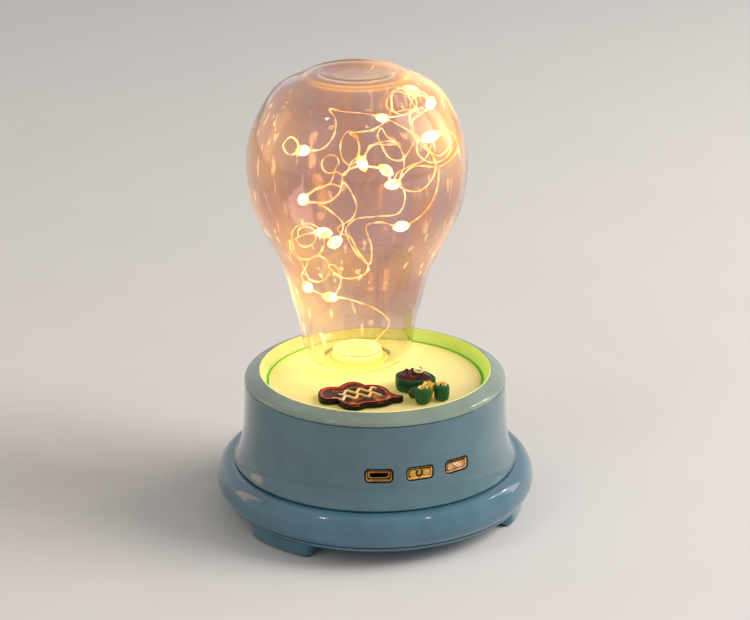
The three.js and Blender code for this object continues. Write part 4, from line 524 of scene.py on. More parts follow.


def clear_glass():
    """Blown soda-lime glass: clear at its foot, and above it a warm pinkish brown tint that is painted light
    from the lights inside. Its glow is painted light: it glows near each light, with thin drawn-out painted
    glints, and in gold bands in the thick rim of its crown, stronger at the front; and it has faint waves."""
    made, tree, shader, place = blank(
        "blown_glass", {"Roughness": 0.0, "IOR": 1.5, "Transmission Weight": 1.0, "Emission Strength": 1.0}
    )
    split = add(tree, "SeparateXYZ", {"Vector": place})
    height = add(tree, "MapRange", {"Value": split.outputs["Z"], "From Min": 51 * MM, "From Max": 78 * MM})
    drawn = add(tree, "Mapping", {"Vector": place, "Scale": (1, 1, 0.15)})
    streak = add(tree, "TexNoise", {"Vector": drawn.outputs["Vector"], "Scale": per(11), "Detail": 2})
    warm = add(
        tree, "ValToRGB", {"Fac": streak.outputs["Fac"]},
        [(0.38, "#E6C4B4"), (0.5, "#E2C4BE"), (0.62, "#DCC6C8")],
    ).outputs["Color"]
    foot = add(
        tree, "ValToRGB", {"Fac": height.outputs["Result"]},
        [(0, "#FBF4CC"), (0.14, "#FCF8E0"), (0.3, "#FDFAF0"), (1, "#FFFFFF")],
    ).outputs["Color"]
    tint = add(tree, "Mix", {"Factor": height.outputs["Result"], 6: foot, 7: warm}, data_type="RGBA")
    tree.links.new(tint.outputs[2], shader.inputs["Base Color"])
    # painted glow near each light, with painted glints below
    distance = add(tree, "Attribute", attribute_name="near_light")
    share = add(tree, "Math", {0: distance.outputs["Fac"], 1: GLOW_REACH}, operation="DIVIDE")
    glow = add(
        tree, "ValToRGB", {"Fac": share.outputs[0]},
        [(0.1, "#DCB850"), (0.22, "#A07E34"), (0.36, "#685228"), (0.6, "#302212"), (1, "#0E0808")],
    )
    glow.color_ramp.interpolation = "EASE"
    fine = add(tree, "Mapping", {"Vector": place, "Scale": (1, 1, 0.25)})
    fleck = add(tree, "TexNoise", {"Vector": fine.outputs["Vector"], "Scale": per(3.2), "Detail": 1})
    glint = add(
        tree, "ValToRGB", {"Fac": fleck.outputs["Fac"]},
        [(0.67, "#000000"), (0.71, "#E8C880"), (0.8, "#FFF0C0")],
    ).outputs["Color"]
    near = add(
        tree, "ValToRGB", {"Fac": share.outputs[0]}, [(0.3, "#FFFFFF"), (0.65, "#000000")]
    ).outputs["Color"]
    glints = add(tree, "Mix", {"Factor": 1.0, 6: glint, 7: near}, data_type="RGBA", blend_type="MULTIPLY")
    lit = add(
        tree, "Mix", {"Factor": 1.0, 6: glow.outputs["Color"], 7: glints.outputs[2]},
        data_type="RGBA", blend_type="ADD",
    )
    # painted glow in gold bands in the crown's rim, stronger at the front
    on_axis = add(tree, "Mapping", {"Vector": place, "Location": (0, -BULB_Y * MM, 0), "Scale": (1, 1, 0)})
    radius = add(tree, "VectorMath", {0: on_axis.outputs["Vector"]}, operation="LENGTH")
    rim = add(tree, "MapRange", {"Value": radius.outputs["Value"], "From Min": 4 * MM, "From Max": 22 * MM})
    band = add(
        tree, "ValToRGB", {"Fac": rim.outputs["Result"]},
        [(0, "#3A3410"), (0.2, "#6A5A20"), (0.3, "#140C04"), (0.5, "#20140A"), (0.56, "#806020"),
         (0.62, "#140A04"), (0.78, "#3A2606"), (0.84, "#C08C14"), (0.89, "#4A3008"), (1, "#000000")],
    ).outputs["Color"]
    crown = add(tree, "MapRange", {"Value": split.outputs["Z"], "From Min": 157 * MM, "From Max": 161 * MM})
    front = add(
        tree,
        "MapRange",
        {"Value": split.outputs["Y"], "From Min": (BULB_Y - 14) * MM, "From Max": BULB_Y * MM,
         "To Min": 1.0, "To Max": 0.2},
    )
    gathered = add(
        tree, "Math", {0: crown.outputs["Result"], 1: front.outputs["Result"]}, operation="MULTIPLY"
    )
    ring = add(
        tree, "Mix", {"Factor": gathered.outputs[0], 6: lit.outputs[2], 7: band},
        data_type="RGBA", blend_type="ADD",
    )
    tree.links.new(ring.outputs[2], shader.inputs["Emission Color"])
    waves = add(tree, "TexNoise", {"Vector": place, "Scale": per(18), "Detail": 1})
    relief = add(
        tree, "Bump", {"Height": waves.outputs["Fac"], "Strength": 0.08, "Distance": 1.5 * MM}
    )
    tree.links.new(relief.outputs["Normal"], shader.inputs["Normal"])
    return made


def opal_disc():
    """Opal acrylic, cast: its glow is painted light from below, and its colour and glow are painted brightest
    round the bulb's foot, and darker and beige towards the front.
    """
    made, tree, shader, place = blank(
        "opal_acrylic", {"Roughness": 0.34, "Emission Strength": 1, "Specular IOR Level": 0.35}
    )
    centred = add(tree, "Mapping", {"Vector": place, "Location": (6 * MM, -BULB_Y * MM, -DISC_TOP * MM)})
    far = add(tree, "VectorMath", {0: centred.outputs["Vector"]}, operation="LENGTH")
    cloud = add(tree, "TexNoise", {"Vector": place, "Scale": per(16), "Detail": 2})
    uneven = add(
        tree, "Math", {0: cloud.outputs["Fac"], 1: 10 * MM, 2: far.outputs["Value"]}, operation="MULTIPLY_ADD"
    )
    spread = add(tree, "MapRange", {"Value": uneven.outputs[0], "From Min": 16 * MM, "From Max": 62 * MM})
    shade = add(
        tree, "ValToRGB", {"Fac": spread.outputs["Result"]},
        [(0, "#F6F0A2"), (0.5, "#F0E698"), (1, "#E4D292")],
    ).outputs["Color"]
    glow = add(
        tree, "ValToRGB", {"Fac": spread.outputs["Result"]},
        [(0, "#F4F080"), (0.14, "#D4CE68"), (0.4, "#948C44"), (1, "#4A4022")],
    ).outputs["Color"]
    tree.links.new(shade, shader.inputs["Base Color"])
    tree.links.new(glow, shader.inputs["Emission Color"])
    skin = add(tree, "TexNoise", {"Vector": place, "Scale": per(0.6), "Detail": 2})
    relief = add(tree, "Bump", {"Height": skin.outputs["Fac"], "Strength": 0.05, "Distance": 0.1 * MM})
    tree.links.new(relief.outputs["Normal"], shader.inputs["Normal"])
    return made


def liner_with_painted_light():
    """Moulded polycarbonate with painted light: its lime and pale yellow colour and its glow stand in for the
    warm light on it, with painted shade in darker green in the narrow groove and greener towards the right."""
    made, tree, shader, place = blank("polycarbonate_painted_light", {"Roughness": 0.25, "Emission Strength": 0.4})
    split = add(tree, "SeparateXYZ", {"Vector": place})
    flat = add(tree, "CombineXYZ", {"X": split.outputs["X"], "Y": split.outputs["Y"]})
    radius = add(tree, "VectorMath", {0: flat.outputs["Vector"]}, operation="LENGTH")
    across = add(
        tree, "MapRange", {"Value": radius.outputs["Value"], "From Min": 40.2 * MM, "From Max": 43.7 * MM}
    )
    pale = add(
        tree, "ValToRGB", {"Fac": across.outputs["Result"]},
        [(0, "#5CB02A"), (0.16, "#6CBA34"), (0.24, "#CDE67E"), (0.32, "#E4F096"), (1, "#F1F3A6")],
    ).outputs["Color"]
    green = add(
        tree, "ValToRGB", {"Fac": across.outputs["Result"]},
        [(0, "#3E9214"), (0.2, "#5EAA22"), (0.3, "#B2D64C"), (1, "#CFE066")],
    ).outputs["Color"]
    # painted shade: greener towards the right
    side = add(
        tree, "MapRange", {"Value": split.outputs["X"], "From Min": -10 * MM, "From Max": 42 * MM}
    )
    both = add(
        tree, "Mix", {"Factor": side.outputs["Result"], 6: pale, 7: green}, data_type="RGBA"
    )
    colour = both.outputs[2]
    tree.links.new(colour, shader.inputs["Base Color"])
    tree.links.new(colour, shader.inputs["Emission Color"])
    skin = add(tree, "TexNoise", {"Vector": place, "Scale": per(1.2), "Detail": 3})
    relief = add(tree, "Bump", {"Height": skin.outputs["Fac"], "Strength": 0.05, "Distance": 0.1 * MM})
    tree.links.new(relief.outputs["Normal"], shader.inputs["Normal"])
    return made


def lit_wire(name, colours, roughness, metallic, glow, strength):
    """Fine enamelled copper wire, or a clear resin drop on it, lit by its own lights: glow gives the colour
    at distances in millimetres from the nearest light. On the wire this glow is painted light; on the lights'
    cores it is their own."""
    made, tree, shader, place = blank(
        name, {"Roughness": roughness, "Metallic": metallic, "Emission Strength": strength}
    )
    change = add(tree, "TexNoise", {"Vector": place, "Scale": per(3), "Detail": 2})
    shade = add(
        tree, "ValToRGB", {"Fac": change.outputs["Fac"]}, [(0.3, colours[0]), (0.7, colours[1])]
    ).outputs["Color"]
    tree.links.new(shade, shader.inputs["Base Color"])
    distance = add(tree, "Attribute", attribute_name="near_light")
    reach = glow[-1][0]
    share = add(tree, "Math", {0: distance.outputs["Fac"], 1: reach}, operation="DIVIDE")
    light = add(
        tree, "ValToRGB", {"Fac": share.outputs[0]}, [(far / reach, code) for far, code in glow]
    ).outputs["Color"]
    # painted glints: a noise makes the glow uneven
    glint = add(tree, "TexNoise", {"Vector": place, "Scale": per(4), "Detail": 1})
    dim = add(
        tree, "ValToRGB", {"Fac": glint.outputs["Fac"]}, [(0.35, "#A08C64"), (0.6, "#FFFFFF")]
    ).outputs["Color"]
    uneven = add(tree, "Mix", {"Factor": 1.0, 6: light, 7: dim}, data_type="RGBA", blend_type="MULTIPLY")
    tree.links.new(uneven.outputs[2], shader.inputs["Emission Color"])
    return made


def circuit_board():
    """Glass-epoxy board under green lacquer, with fine copper tracks beneath it."""
    made, tree, shader, place = blank("epoxy_board", {"Roughness": 0.35})
    tracks = add(
        tree,
        "TexBrick",
        {"Vector": place, "Scale": 1.0, "Mortar Size": 0.2 * MM, "Brick Width": 4 * MM,
         "Row Height": 1.2 * MM,
         "Color1": srgb("#1B5631"), "Color2": srgb("#1F5F37"), "Mortar": srgb("#3C8A50")},
    )
    tree.links.new(tracks.outputs["Color"], shader.inputs["Base Color"])
    return made


def wound_copper():
    """Enamelled copper wire in close turns of 0.2 mm, drawn at 0.6 mm so that they show."""
    made, tree, shader, place = blank("wound_copper", {"Roughness": 0.3, "Metallic": 1.0})
    turns = add(
        tree, "TexWave", {"Vector": place, "Scale": per(0.6) / TURN * 2}, bands_direction="Z"
    )
    shade = add(
        tree, "ValToRGB", {"Fac": turns.outputs["Fac"]}, [(0, "#7A3F1C"), (1, "#D08850")]
    ).outputs["Color"]
    tree.links.new(shade, shader.inputs["Base Color"])
    return made


def plated(name, colours, corner):
    """Bright plate on moulded plastic, with painted shade that darkens it in its corners and recesses."""
    made = moulded(name, colours, 0.2, 1.5, 0.03, 2.4, Metallic=1.0)
    tree = made.node_tree
    shader = tree.nodes["Principled BSDF"]
    shade = shader.inputs["Base Color"].links[0].from_socket
    # painted shade: darker where ambient occlusion finds corners and recesses
    near = add(tree, "AmbientOcclusion", {"Distance": 1.2 * MM}, samples=6)
    unshaded = add(tree, "MapRange", {"Value": near.outputs["AO"], "From Min": 0.35, "From Max": 0.85})
    corner_shaded = add(tree, "Mix", {"Factor": unshaded.outputs["Result"], 6: srgb(corner), 7: shade}, data_type="RGBA")
    tree.links.new(corner_shaded.outputs[2], shader.inputs["Base Color"])
    return made


# Gold-coloured chrome plate, the same with more copper in it, and a bronze plate for the socket, which on the
# socket's steel shell is a painted reflection: bright warm metal, with painted shade in its corners
gold_plate = plated("gold_plate", ("#D89C3C", "#FFE490"), "#3A1E08")
copper_plate = plated("copper_plate", ("#D8904C", "#FFCC94"), "#4A200C")
bronze_plate_and_painted_reflection = plated("bronze_plate_and_painted_reflection", ("#8E6230", "#C89454"), "#140A04")
# Dark fired enamel in the power mark: a smooth deep gloss
mark_enamel = moulded("mark_enamel", ("#2A1405", "#3C1E09"), 0.25, 0.5, 0.05)
# Polished metal on the heart, in a near-white colour that is a painted highlight: a small bright glint
bright_mark = moulded("bright_mark", ("#FFE0C4", "#FFEFE0"), 0.1, 0.5, 0.03, Metallic=1.0)
plug_plastic = lit_plug()
blown_glass = clear_glass()
opal_acrylic = opal_disc()
polycarbonate_painted_light = liner_with_painted_light()
# the wire's glow is painted light from the lights along it
gold_wire = lit_wire(
    "enamelled_wire", ("#E0B450", "#F4D478"), 0.3, 0.4,
    [(2.5, "#FFF8D0"), (6, "#FCEFB4"), (16, "#F6DC90")], 2.3,
)
light_core = lit_wire("light_core", ("#FFF4D8", "#FFFFFF"), 0.4, 0, [(1.2, "#FFF6DC"), (2, "#FFE6A8")], 10)


def resin_drop():
    """Clear epoxy cast round a light, with a yellow tint and a glow painted on for the light inside it."""
    made, tree, shader, place = blank(
        "epoxy_drop",
        {"Roughness": 0.08, "IOR": 1.5, "Transmission Weight": 1.0, "Emission Color": srgb("#FFC858"),
         "Emission Strength": 0.6},
    )
    change = add(tree, "TexNoise", {"Vector": place, "Scale": per(2), "Detail": 1})
    tint = add(
        tree, "ValToRGB", {"Fac": change.outputs["Fac"]}, [(0.3, "#FFD27A"), (0.7, "#FFEAB4")]
    ).outputs["Color"]
    tree.links.new(tint, shader.inputs["Base Color"])
    return made


epoxy_drop = resin_drop()

# Base: the cover with its feet, the round moulding and the flared housing
SCREW_AZIMUTHS = [math.radians(degrees) for degrees in FOOT_AZIMUTHS.values()]
screw_places = [(SCREW_CIRCLE * math.sin(a), -SCREW_CIRCLE * math.cos(a)) for a in SCREW_AZIMUTHS]


def bent(outline, radius):
    """An outline wrapped round the lamp's axis: sideways becomes angle, and forwards becomes radius."""
    angle = outline[:, 0] / radius
    out = radius - outline[:, 1]
    return np.stack([out * np.sin(angle), -out * np.cos(angle)], 1)


def base_cover():
    """A plate with a round edge, an opening for sound, three screw rooms and three hollow feet."""
    edge = COVER_ROUND
    under = [circle(COVER_RADIUS - edge, ROUND), circle(GRILLE_OPENING, ROUND)]
    rooms = [circle(SCREW_ROOM, FINE, x, y) for x, y in screw_places]
    rim = np.concatenate(
        [
            arc((COVER_RADIUS - edge, FOOT_HEIGHT + edge), (edge, edge), -90, 0, 4),
            [[COVER_RADIUS, COVER_EDGE_TOP], [COVER_STEP_RADIUS, COVER_EDGE_TOP]],
            [[COVER_STEP_RADIUS, COVER_TOP], [GRILLE_OPENING, COVER_TOP], [GRILLE_OPENING, FOOT_HEIGHT]],
        ]
    )
    parts = filled(under + rooms, FOOT_HEIGHT) + lathe_on_x(rim)
    for room in rooms:
        parts += pillar(room, FOOT_HEIGHT, COVER_TOP - 0.2) + filled([room], COVER_TOP - 0.2)
    middle = (FOOT_OUTER + FOOT_INNER) / 2
    wide = 2 * math.radians(FOOT_HALF_DEGREES - 1) * middle
    outline = bent(soft_rectangle(wide, FOOT_OUTER - FOOT_INNER, FOOT_CORNER), middle)
    section = np.concatenate(
        [
            [(1.7, 1.6), (1.7, 0.58), (1.62, 0.5), (1.5, 0.5)],
            arc((1.5, 2), (-1.5, -1.5), 90, 0, 6),
            [(0, 5.4), (-0.35, 6.02), (-0.9, FOOT_HEIGHT)],
        ]
    )
    foot = swept(outline, section)
    for turn in FOOT_AZIMUTHS.values():
        parts += placed(foot, turn=turn)
    return parts


def lathe_on_x(profile):
    """An open profile turned from the same starting points as circle gives."""
    angles = np.arange(ROUND) * TURN / ROUND + math.pi / 2
    return [grid(turned(profile, angles))]


def foot_pad():
    """A rubber pad in each foot's pocket, with a soft lower edge."""
    middle = (FOOT_OUTER + FOOT_INNER) / 2
    wide = 2 * math.radians(FOOT_HALF_DEGREES) * middle - 2 * PAD_INSET
    outline = bent(soft_rectangle(wide, FOOT_OUTER - FOOT_INNER - 2 * PAD_INSET, PAD_CORNER), middle)
    return swept(outline, [(0.3, 0), (0.08, 0.08), (0, 0.3), (0, PAD_HEIGHT)])


def screw_head(radius, height):
    """A pan head seen from below, with a cross recess: the recess is deep where a point lies within
    either arm of the cross, and slopes up over the arm's side."""
    share = np.linspace(0, 1, 22)
    angle = np.arange(FINE) * TURN / FINE
    across = radius * share[:, None] * np.ones(FINE)
    x, y = across * np.sin(angle), across * np.cos(angle)
    dome = height * (1 - np.clip((across / radius - 0.62) / 0.38, 0, 1) ** 2 * 0.75)
    arm = np.minimum(np.abs(x), np.abs(y)) / (0.16 * radius)
    reach = np.maximum(np.abs(x), np.abs(y)) / (0.62 * radius)
    recess = np.clip(1.6 - arm, 0, 1) * np.clip((1.05 - reach) * 8, 0, 1) * 0.45 * height
    face = np.stack([x, y, -(dome - recess)], -1)
    back = np.stack([x[-1:], y[-1:], 0 * x[-1:]], -1)
    last = np.stack([0 * x[-1:], 0 * y[-1:], 0 * x[-1:]], -1)
    return [grid(np.concatenate([face, back, last]))]


def base_ring():
    """A hollow round moulding: a quarter of an upright ellipse above its widest place and a shorter one
    below, with the collar that centres the housing."""
    lean = -math.degrees(math.acos((RING_FOOT - RING_CENTRE) / RING_BULGE))
    lower = arc((RING_CENTRE, RING_WIDEST), (RING_BULGE, RING_DROP), lean, 0, 12)
    upper = arc((RING_CENTRE, RING_WIDEST), (RING_BULGE, RING_TOP - RING_WIDEST), 0, 90, 26)
    collar = [(50.3, RING_TOP), (49.95, 23.3), (48.25, 23.3), (48.6, 17.9)]
    inside = arc((RING_CENTRE, RING_WIDEST), (RING_BULGE - RING_WALL, 5.7), 90, -40, 10)
    return lathe(np.concatenate([lower, upper[1:], collar, inside, [(55.8, RING_BOTTOM)]]), over=True)


def housing_radius(z):
    """Outer radius of the housing: a slight taper, and a flare that dies away above the ring."""
    above = z - FLARE_START
    taper = HOUSING_TAPER * (1 - above / (HOUSING_TOP - FLARE_START))
    return HOUSING_TOP_RADIUS + taper + HOUSING_FLARE * np.exp(-above / FLARE_DECAY)


ZONE = np.linspace(27.5, 38.1, 13)  # heights of the band of wall that holds the windows
CELL_COLUMNS = 24
REST_COLUMNS = 208  # round the rest of the wall


def housing():
    """The flared wall as one closed turned profile. Each window's cell of the wall's grid is left out and
    filled by rings of points that pass from the cell's edge to the window's outline, round its edge,
    through the wall and back to the same cell of the inner wall. A point keeps its distance sideways
    through the wall: its angle is asin(sideways / (radius - depth))."""
    front = math.radians(1.5 * WINDOW_STEP_DEGREES)
    angles = np.concatenate(
        [
            np.linspace(-front, front, 3 * CELL_COLUMNS + 1),
            np.linspace(front, TURN - front, REST_COLUMNS + 1)[1:-1],
        ]
    )
    low = FLARE_START + (ZONE[0] - FLARE_START) * np.linspace(0, 1, 19)[:-1] ** 1.3
    edge_start = HOUSING_TOP - 0.5
    high = np.linspace(ZONE[-1], edge_start, 10)[1:]
    outer = np.concatenate([low, ZONE, high])
    inner = np.concatenate([np.linspace(45, ZONE[-1], 4)[:-1], ZONE[::-1], low[::-3]])
    lip = rounded(
        [(HOUSING_FOOT_INNER, HOUSING_BOTTOM, 0), (LIP_RADIUS, HOUSING_BOTTOM, 0.4),
         (LIP_RADIUS, LIP_TOP, 0.45), (53.1, 21.38, 0)],
        closed=False,
    )
    edge = rounded(
        [(housing_radius(edge_start), edge_start, 0),
         (housing_radius(HOUSING_TOP), HOUSING_TOP, HOUSING_ROUND), (47.1, HOUSING_TOP, 0),
         (47.2, LEDGE_TOP, 0), (LEDGE_INNER, LEDGE_TOP, 0), (LEDGE_INNER, LEDGE_BOTTOM, 0),
         (47.4, LEDGE_BOTTOM, 0)],
        closed=False,
    )
    rows = [lip, np.column_stack([housing_radius(outer), outer]), edge[1:]]
    rows += [np.column_stack([housing_radius(inner) - HOUSING_WALL, inner])]
    rows += [[(HOUSING_FOOT_INNER, HOUSING_BOTTOM)]]
    profile = np.concatenate(rows)
    points, quads = grid(turned(profile, angles), over=False)
    steps = len(ZONE) - 1
    row = np.repeat(np.arange(len(profile) - 1), len(angles))
    column = np.tile(np.arange(len(angles)), len(profile) - 1)
    first = len(lip) + len(low)
    back = len(lip) + len(outer) + len(edge) - 1 + 3
    in_zone = ((row >= first) & (row < first + steps)) | ((row >= back) & (row < back + steps))
    kept = ~(in_zone & (column < 3 * CELL_COLUMNS))
    parts = [(points, quads[kept])]
    for i in range(3):
        parts += [window_cell(angles[i * CELL_COLUMNS : (i + 1) * CELL_COLUMNS + 1])]
    return parts


WINDOW_ROUND = 0.35  # rounding of a window's edge


def window_cell(columns):
    """The rings of points between a cell of the wall, its window and the same cell of the inner wall."""
    last = len(ZONE) - 1
    edge_angle = np.concatenate(
        [columns[:-1], np.full(last, columns[-1]), columns[:0:-1], np.full(last, columns[0])]
    )
    edge_height = np.concatenate(
        [np.full(CELL_COLUMNS, ZONE[0]), ZONE[:-1], np.full(CELL_COLUMNS, ZONE[-1]), ZONE[:0:-1]]
    )
    middle = (columns[0] + columns[-1]) / 2
    turn = np.radians(np.linspace(0, 90, 6))
    grows = np.concatenate([WINDOW_ROUND * (1 - np.sin(turn)), [0, 0]])
    depths = np.concatenate([WINDOW_ROUND * (1 - np.cos(turn)), [1.2, HOUSING_WALL]])
    rings = []
    for grow, depth in zip(grows, depths):
        outline = soft_rectangle(WINDOW_WIDTH + 2 * grow, WINDOW_HEIGHT + 2 * grow, WINDOW_CORNER + grow)
        height = WINDOW_LEVEL + outline[:, 1]
        angle = middle + np.arcsin(outline[:, 0] / (housing_radius(height) - depth))
        rings.append(np.stack([angle, height, np.full(len(height), depth)], -1))
    cell = np.stack([edge_angle, edge_height, 0 * edge_angle], -1)
    share = np.linspace(0, 1, 7)[:-1, None, None]
    outside = (1 - share) * cell + share * rings[0]
    inside = (1 - share) * (cell + (0, 0, HOUSING_WALL)) + share * rings[-1]
    angle, height, depth = np.moveaxis(np.concatenate([outside, rings, inside[::-1]]), -1, 0)
    radius = housing_radius(height) - depth
    return grid(np.stack([radius * np.sin(angle), -radius * np.cos(angle), height], -1))


def top_bezel():
    """A sloping ring: a cubic curve from the housing's top to the dish, a fine inner edge, and the skirt
    that pushes into the housing."""
    t = np.linspace(0, 1, 25)[:, None]
    knots = np.array([(BEZEL_OUTER, BEZEL_BOTTOM), (BEZEL_OUTER, 53.05), (46.9, 54.04), (43.9, BEZEL_TOP)])
    weights = [(1 - t) ** 3, 3 * t * (1 - t) ** 2, 3 * t**2 * (1 - t), t**3]
    slope = sum(weight * knot for weight, knot in zip(weights, knots))
    inner = [(43.68, 55.24), (43.56, 55.1), (43.56, 54.5), (45.2, 53.35), (45.2, 48.7), (46.4, 48.7),
             (46.8, 49.1), (46.8, BEZEL_BOTTOM)]
    return lathe(np.concatenate([slope, inner]), over=True)


def dish_liner():
    """The dish's leaning wall with a round lip that stands just above the bezel, and the flange under the
    disc; its foot is the line round the disc, painted a darker green as shade."""
    profile = np.concatenate(
        [
            [(36, 47.45), (44.9, 47.45), (44.9, 48.65), (42.2, 48.65), (42.2, DISC_TOP), (43.5, 54)],
            arc((43.3, 55.12), (0.2, 0.2), 0, 180, 6),
            [(43.05, 54.2), (41.6, 51.9), (40.85, 50.75), (GROOVE_RADIUS, 50.2), (GROOVE_RADIUS, 48.65),
             (36, 48.65)],
        ]
    )
    return lathe(profile, over=True)


def dish_disc():
    """A flat disc with a fine round edge and the hole for the plug's stem."""
    hole = circle(STEM_HOLE, ROUND, 0, BULB_Y)
    edge = DISC_ROUND
    face = [circle(DISC_RADIUS - edge, ROUND), hole]
    parts = filled(face, DISC_TOP) + filled(face, DISC_BOTTOM) + pillar(hole, DISC_BOTTOM, DISC_TOP)
    side = np.concatenate(
        [
            arc((DISC_RADIUS - edge, DISC_BOTTOM + edge), (edge, edge), -90, 0, 4),
            arc((DISC_RADIUS - edge, DISC_TOP - edge), (edge, edge), 0, 90, 4),
        ]
    )
    return parts + lathe_on_x(side)


piece("cover_with_feet", base_cover(), ring_abs, slot="blue_plastic", replaces=["bottom_cover"])
for place, turn in FOOT_AZIMUTHS.items():
    pad = placed(foot_pad(), turn=turn)
    piece("rubber_pad_" + place, pad, moulded_rubber, slot="rubber", replaces=["foot_pad_" + place])
    x, y = screw_places[list(FOOT_AZIMUTHS).index(place)]
    head = placed(screw_head(SCREW_HEAD, SCREW_HEAD_TOP - FOOT_HEIGHT), x, y, SCREW_HEAD_TOP, turn)
    shaft = placed(lathe([(0, 0), (1.3, 0), (1.3, 10.2), (0.9, 10.5), (0, 10.5)], FINE), x, y, SCREW_HEAD_TOP)
    piece(
        "cover_fixing_" + place, head + shaft, plated_steel, slot="steel", replaces=["cover_screw_" + place]
    )
piece("round_moulding", base_ring(), ring_abs, slot="blue_plastic", replaces=["base_ring"])
piece("flared_housing", housing(), gloss_abs, slot="blue_plastic", replaces=["housing_shell"], sharp=50)
piece("sloping_bezel", top_bezel(), bezel_abs, slot="blue_plastic", replaces=["top_bezel"])
piece("dish_wall", dish_liner(), polycarbonate_painted_light, slot="lime_plastic", replaces=["dish_liner"])
piece("lit_disc", dish_disc(), opal_acrylic, slot="cream_plastic", replaces=["dish_disc"])


# Front: three gold frames in the windows, the charging socket and two press buttons. Their outlines are
# given by width, height and corner
FRAME_OUTLINE = (9.8, 4.7, 1.3)
GAP_SHADE_OUTLINE = (10.36, 5.26, 1.58)
BUTTON_OUTLINE = (7.9, 2.8, 0.6)
TONGUE_OUTLINE = (3.7, 0.6, 0.1)


def window_frame():
    """A frame as a closed section carried round the window: outer wall, bevel, flat face, inner slope."""
    front = SURFACE - 0.45
    section = [(0, 46.9), (0, front - 0.25), (0.06, front - 0.08), (0.18, front), (0.3, front - 0.02),
               (0.75, front - 0.5), (0.78, 45.9), (-1.15, 45.9), (-1.15, 46.9)]
    return swept(soft_rectangle(*FRAME_OUTLINE), section, over=True)


def window_gap_shade():
    """A black ring in the gap between a frame and the housing: painted shade, standing in for the shadow in
    the gap.
    """
    front = SURFACE - 0.3
    section = [(0, 47.6), (0, front), (0.26, front), (0.26, 47.6)]
    return swept(soft_rectangle(*GAP_SHADE_OUTLINE), section, over=True)


def button_cap():
    """A cap with a shallow hollow face inside a rounded edge, on its flange."""
    face = SURFACE - 0.7
    cap = [(0, 44.0), (0, face - 0.2), (0.06, face - 0.06), (0.16, face), (0.24, face - 0.03),
           (0.42, face - 0.2), (0.62, face - 0.28)]
    return swept(soft_rectangle(*BUTTON_OUTLINE), cap)


def power_mark():
    """An open ring with a bar across its gap, both half round, raised from the button."""
    level = SURFACE - 0.95
    half_gap = 36
    angle = np.radians(np.linspace(90 + half_gap, 450 - half_gap, 41))
    ring = np.stack([1.1 * np.cos(angle), 1.1 * np.sin(angle) - 0.12, np.full(41, level)], 1)
    bar = np.column_stack([np.zeros(9), np.linspace(-0.5, 1.1, 9), np.full(9, level)])
    return tube(ring, 0.34, 12), tube(bar, 0.26, 12)


def heart_mark():
    """A heart-shaped pad with round sides: x = 16 sin^3 t, y = 13 cos t - 5 cos 2t - 2 cos 3t - cos 4t."""
    t = np.linspace(0, TURN, 73)[:-1]
    outline = np.stack(
        [16 * np.sin(t) ** 3, 13 * np.cos(t) - 5 * np.cos(2 * t) - 2 * np.cos(3 * t) - np.cos(4 * t) + 2.2], 1
    ) * 0.082
    level = SURFACE - 1.02
    rise = np.linspace(0, 1, 7)
    shares = 1 - rise[:, None, None] ** 1.6 * 0.92
    flat = outline[None] * shares
    height = level + 0.5 * np.sin(rise * math.pi / 2)
    points = np.concatenate([flat, np.repeat(height[:, None, None], len(outline), 1)], 2)
    foot = np.column_stack([outline, np.full(len(outline), level - 0.1)])
    rows = np.concatenate([foot[None], points])
    number = np.arange(len(outline))[None]
    return [grid(rows), (rows[0], number), (rows[-1], number)]


def socket_shell():
    """The folded metal shell of a micro charging socket: wider at the top, with a rolled lip."""
    outline = rounded(
        [(-3.0, -1.25, 0.35), (3.0, -1.25, 0.35), (3.75, -0.5, 0.35), (3.75, 1.25, 0.45), (-3.75, 1.25, 0.45),
         (-3.75, -0.5, 0.35)]
    ) + (0, -0.05)
    front = SURFACE - 1.2
    section = [(0, 41.1), (0, front - 0.5), (-0.28, front - 0.35), (-0.28, front - 0.12), (0, front - 0.04),
               (0.3, front), (0.42, front - 0.12), (0.42, 41.7)]
    return swept(outline, section)


def socket_tongue():
    """The contact tongue, a flat bar with a finely bevelled front."""
    return swept(soft_rectangle(*TONGUE_OUTLINE) + (0, 0.45), [(0, 42), (0, 46.45), (0.08, 46.55)])


PLATES = {"socket": bronze_plate_and_painted_reflection, "power": gold_plate, "mode": copper_plate}
for i, (name, plate) in enumerate(PLATES.items()):
    turn = (i - 1) * WINDOW_STEP_DEGREES
    piece(name + "_bezel", facing(window_frame(), turn), plate, slot="gold_trim", replaces=[name + "_frame"])
    # painted shade: a black ring fills the gap round each frame where shadow falls
    piece(name + "_seal", facing(window_gap_shade(), turn), gap_shade_black, slot="black_plastic")
ring, bar = power_mark()
piece("power_key", facing(button_cap() + bar, 0), gold_plate, "power_button", "gold_trim", ["power_button"])
piece("power_sign", facing(ring, 0), mark_enamel, "power_button", "gold_trim")
for name, parts, material, nodes in (
    ("mode_key", button_cap(), copper_plate, ["mode_button"]), ("mode_sign", heart_mark(), bright_mark, []),
):
    piece(name, facing(parts, WINDOW_STEP_DEGREES), material, "mode_button", "gold_trim", nodes)
# painted reflection: the socket's steel shell is given the bronze plate, standing in for the warm frame it
# reflects
piece("charging_shell", facing(socket_shell(), -WINDOW_STEP_DEGREES), bronze_plate_and_painted_reflection, slot="steel",
      replaces=["usb_socket"])
piece(
    "charging_tongue", facing(socket_tongue(), -WINDOW_STEP_DEGREES), grained_abs, slot="black_plastic",
    replaces=["usb_tongue"],
)

# Loudspeaker behind its grille
HOLE_SIDES = 32


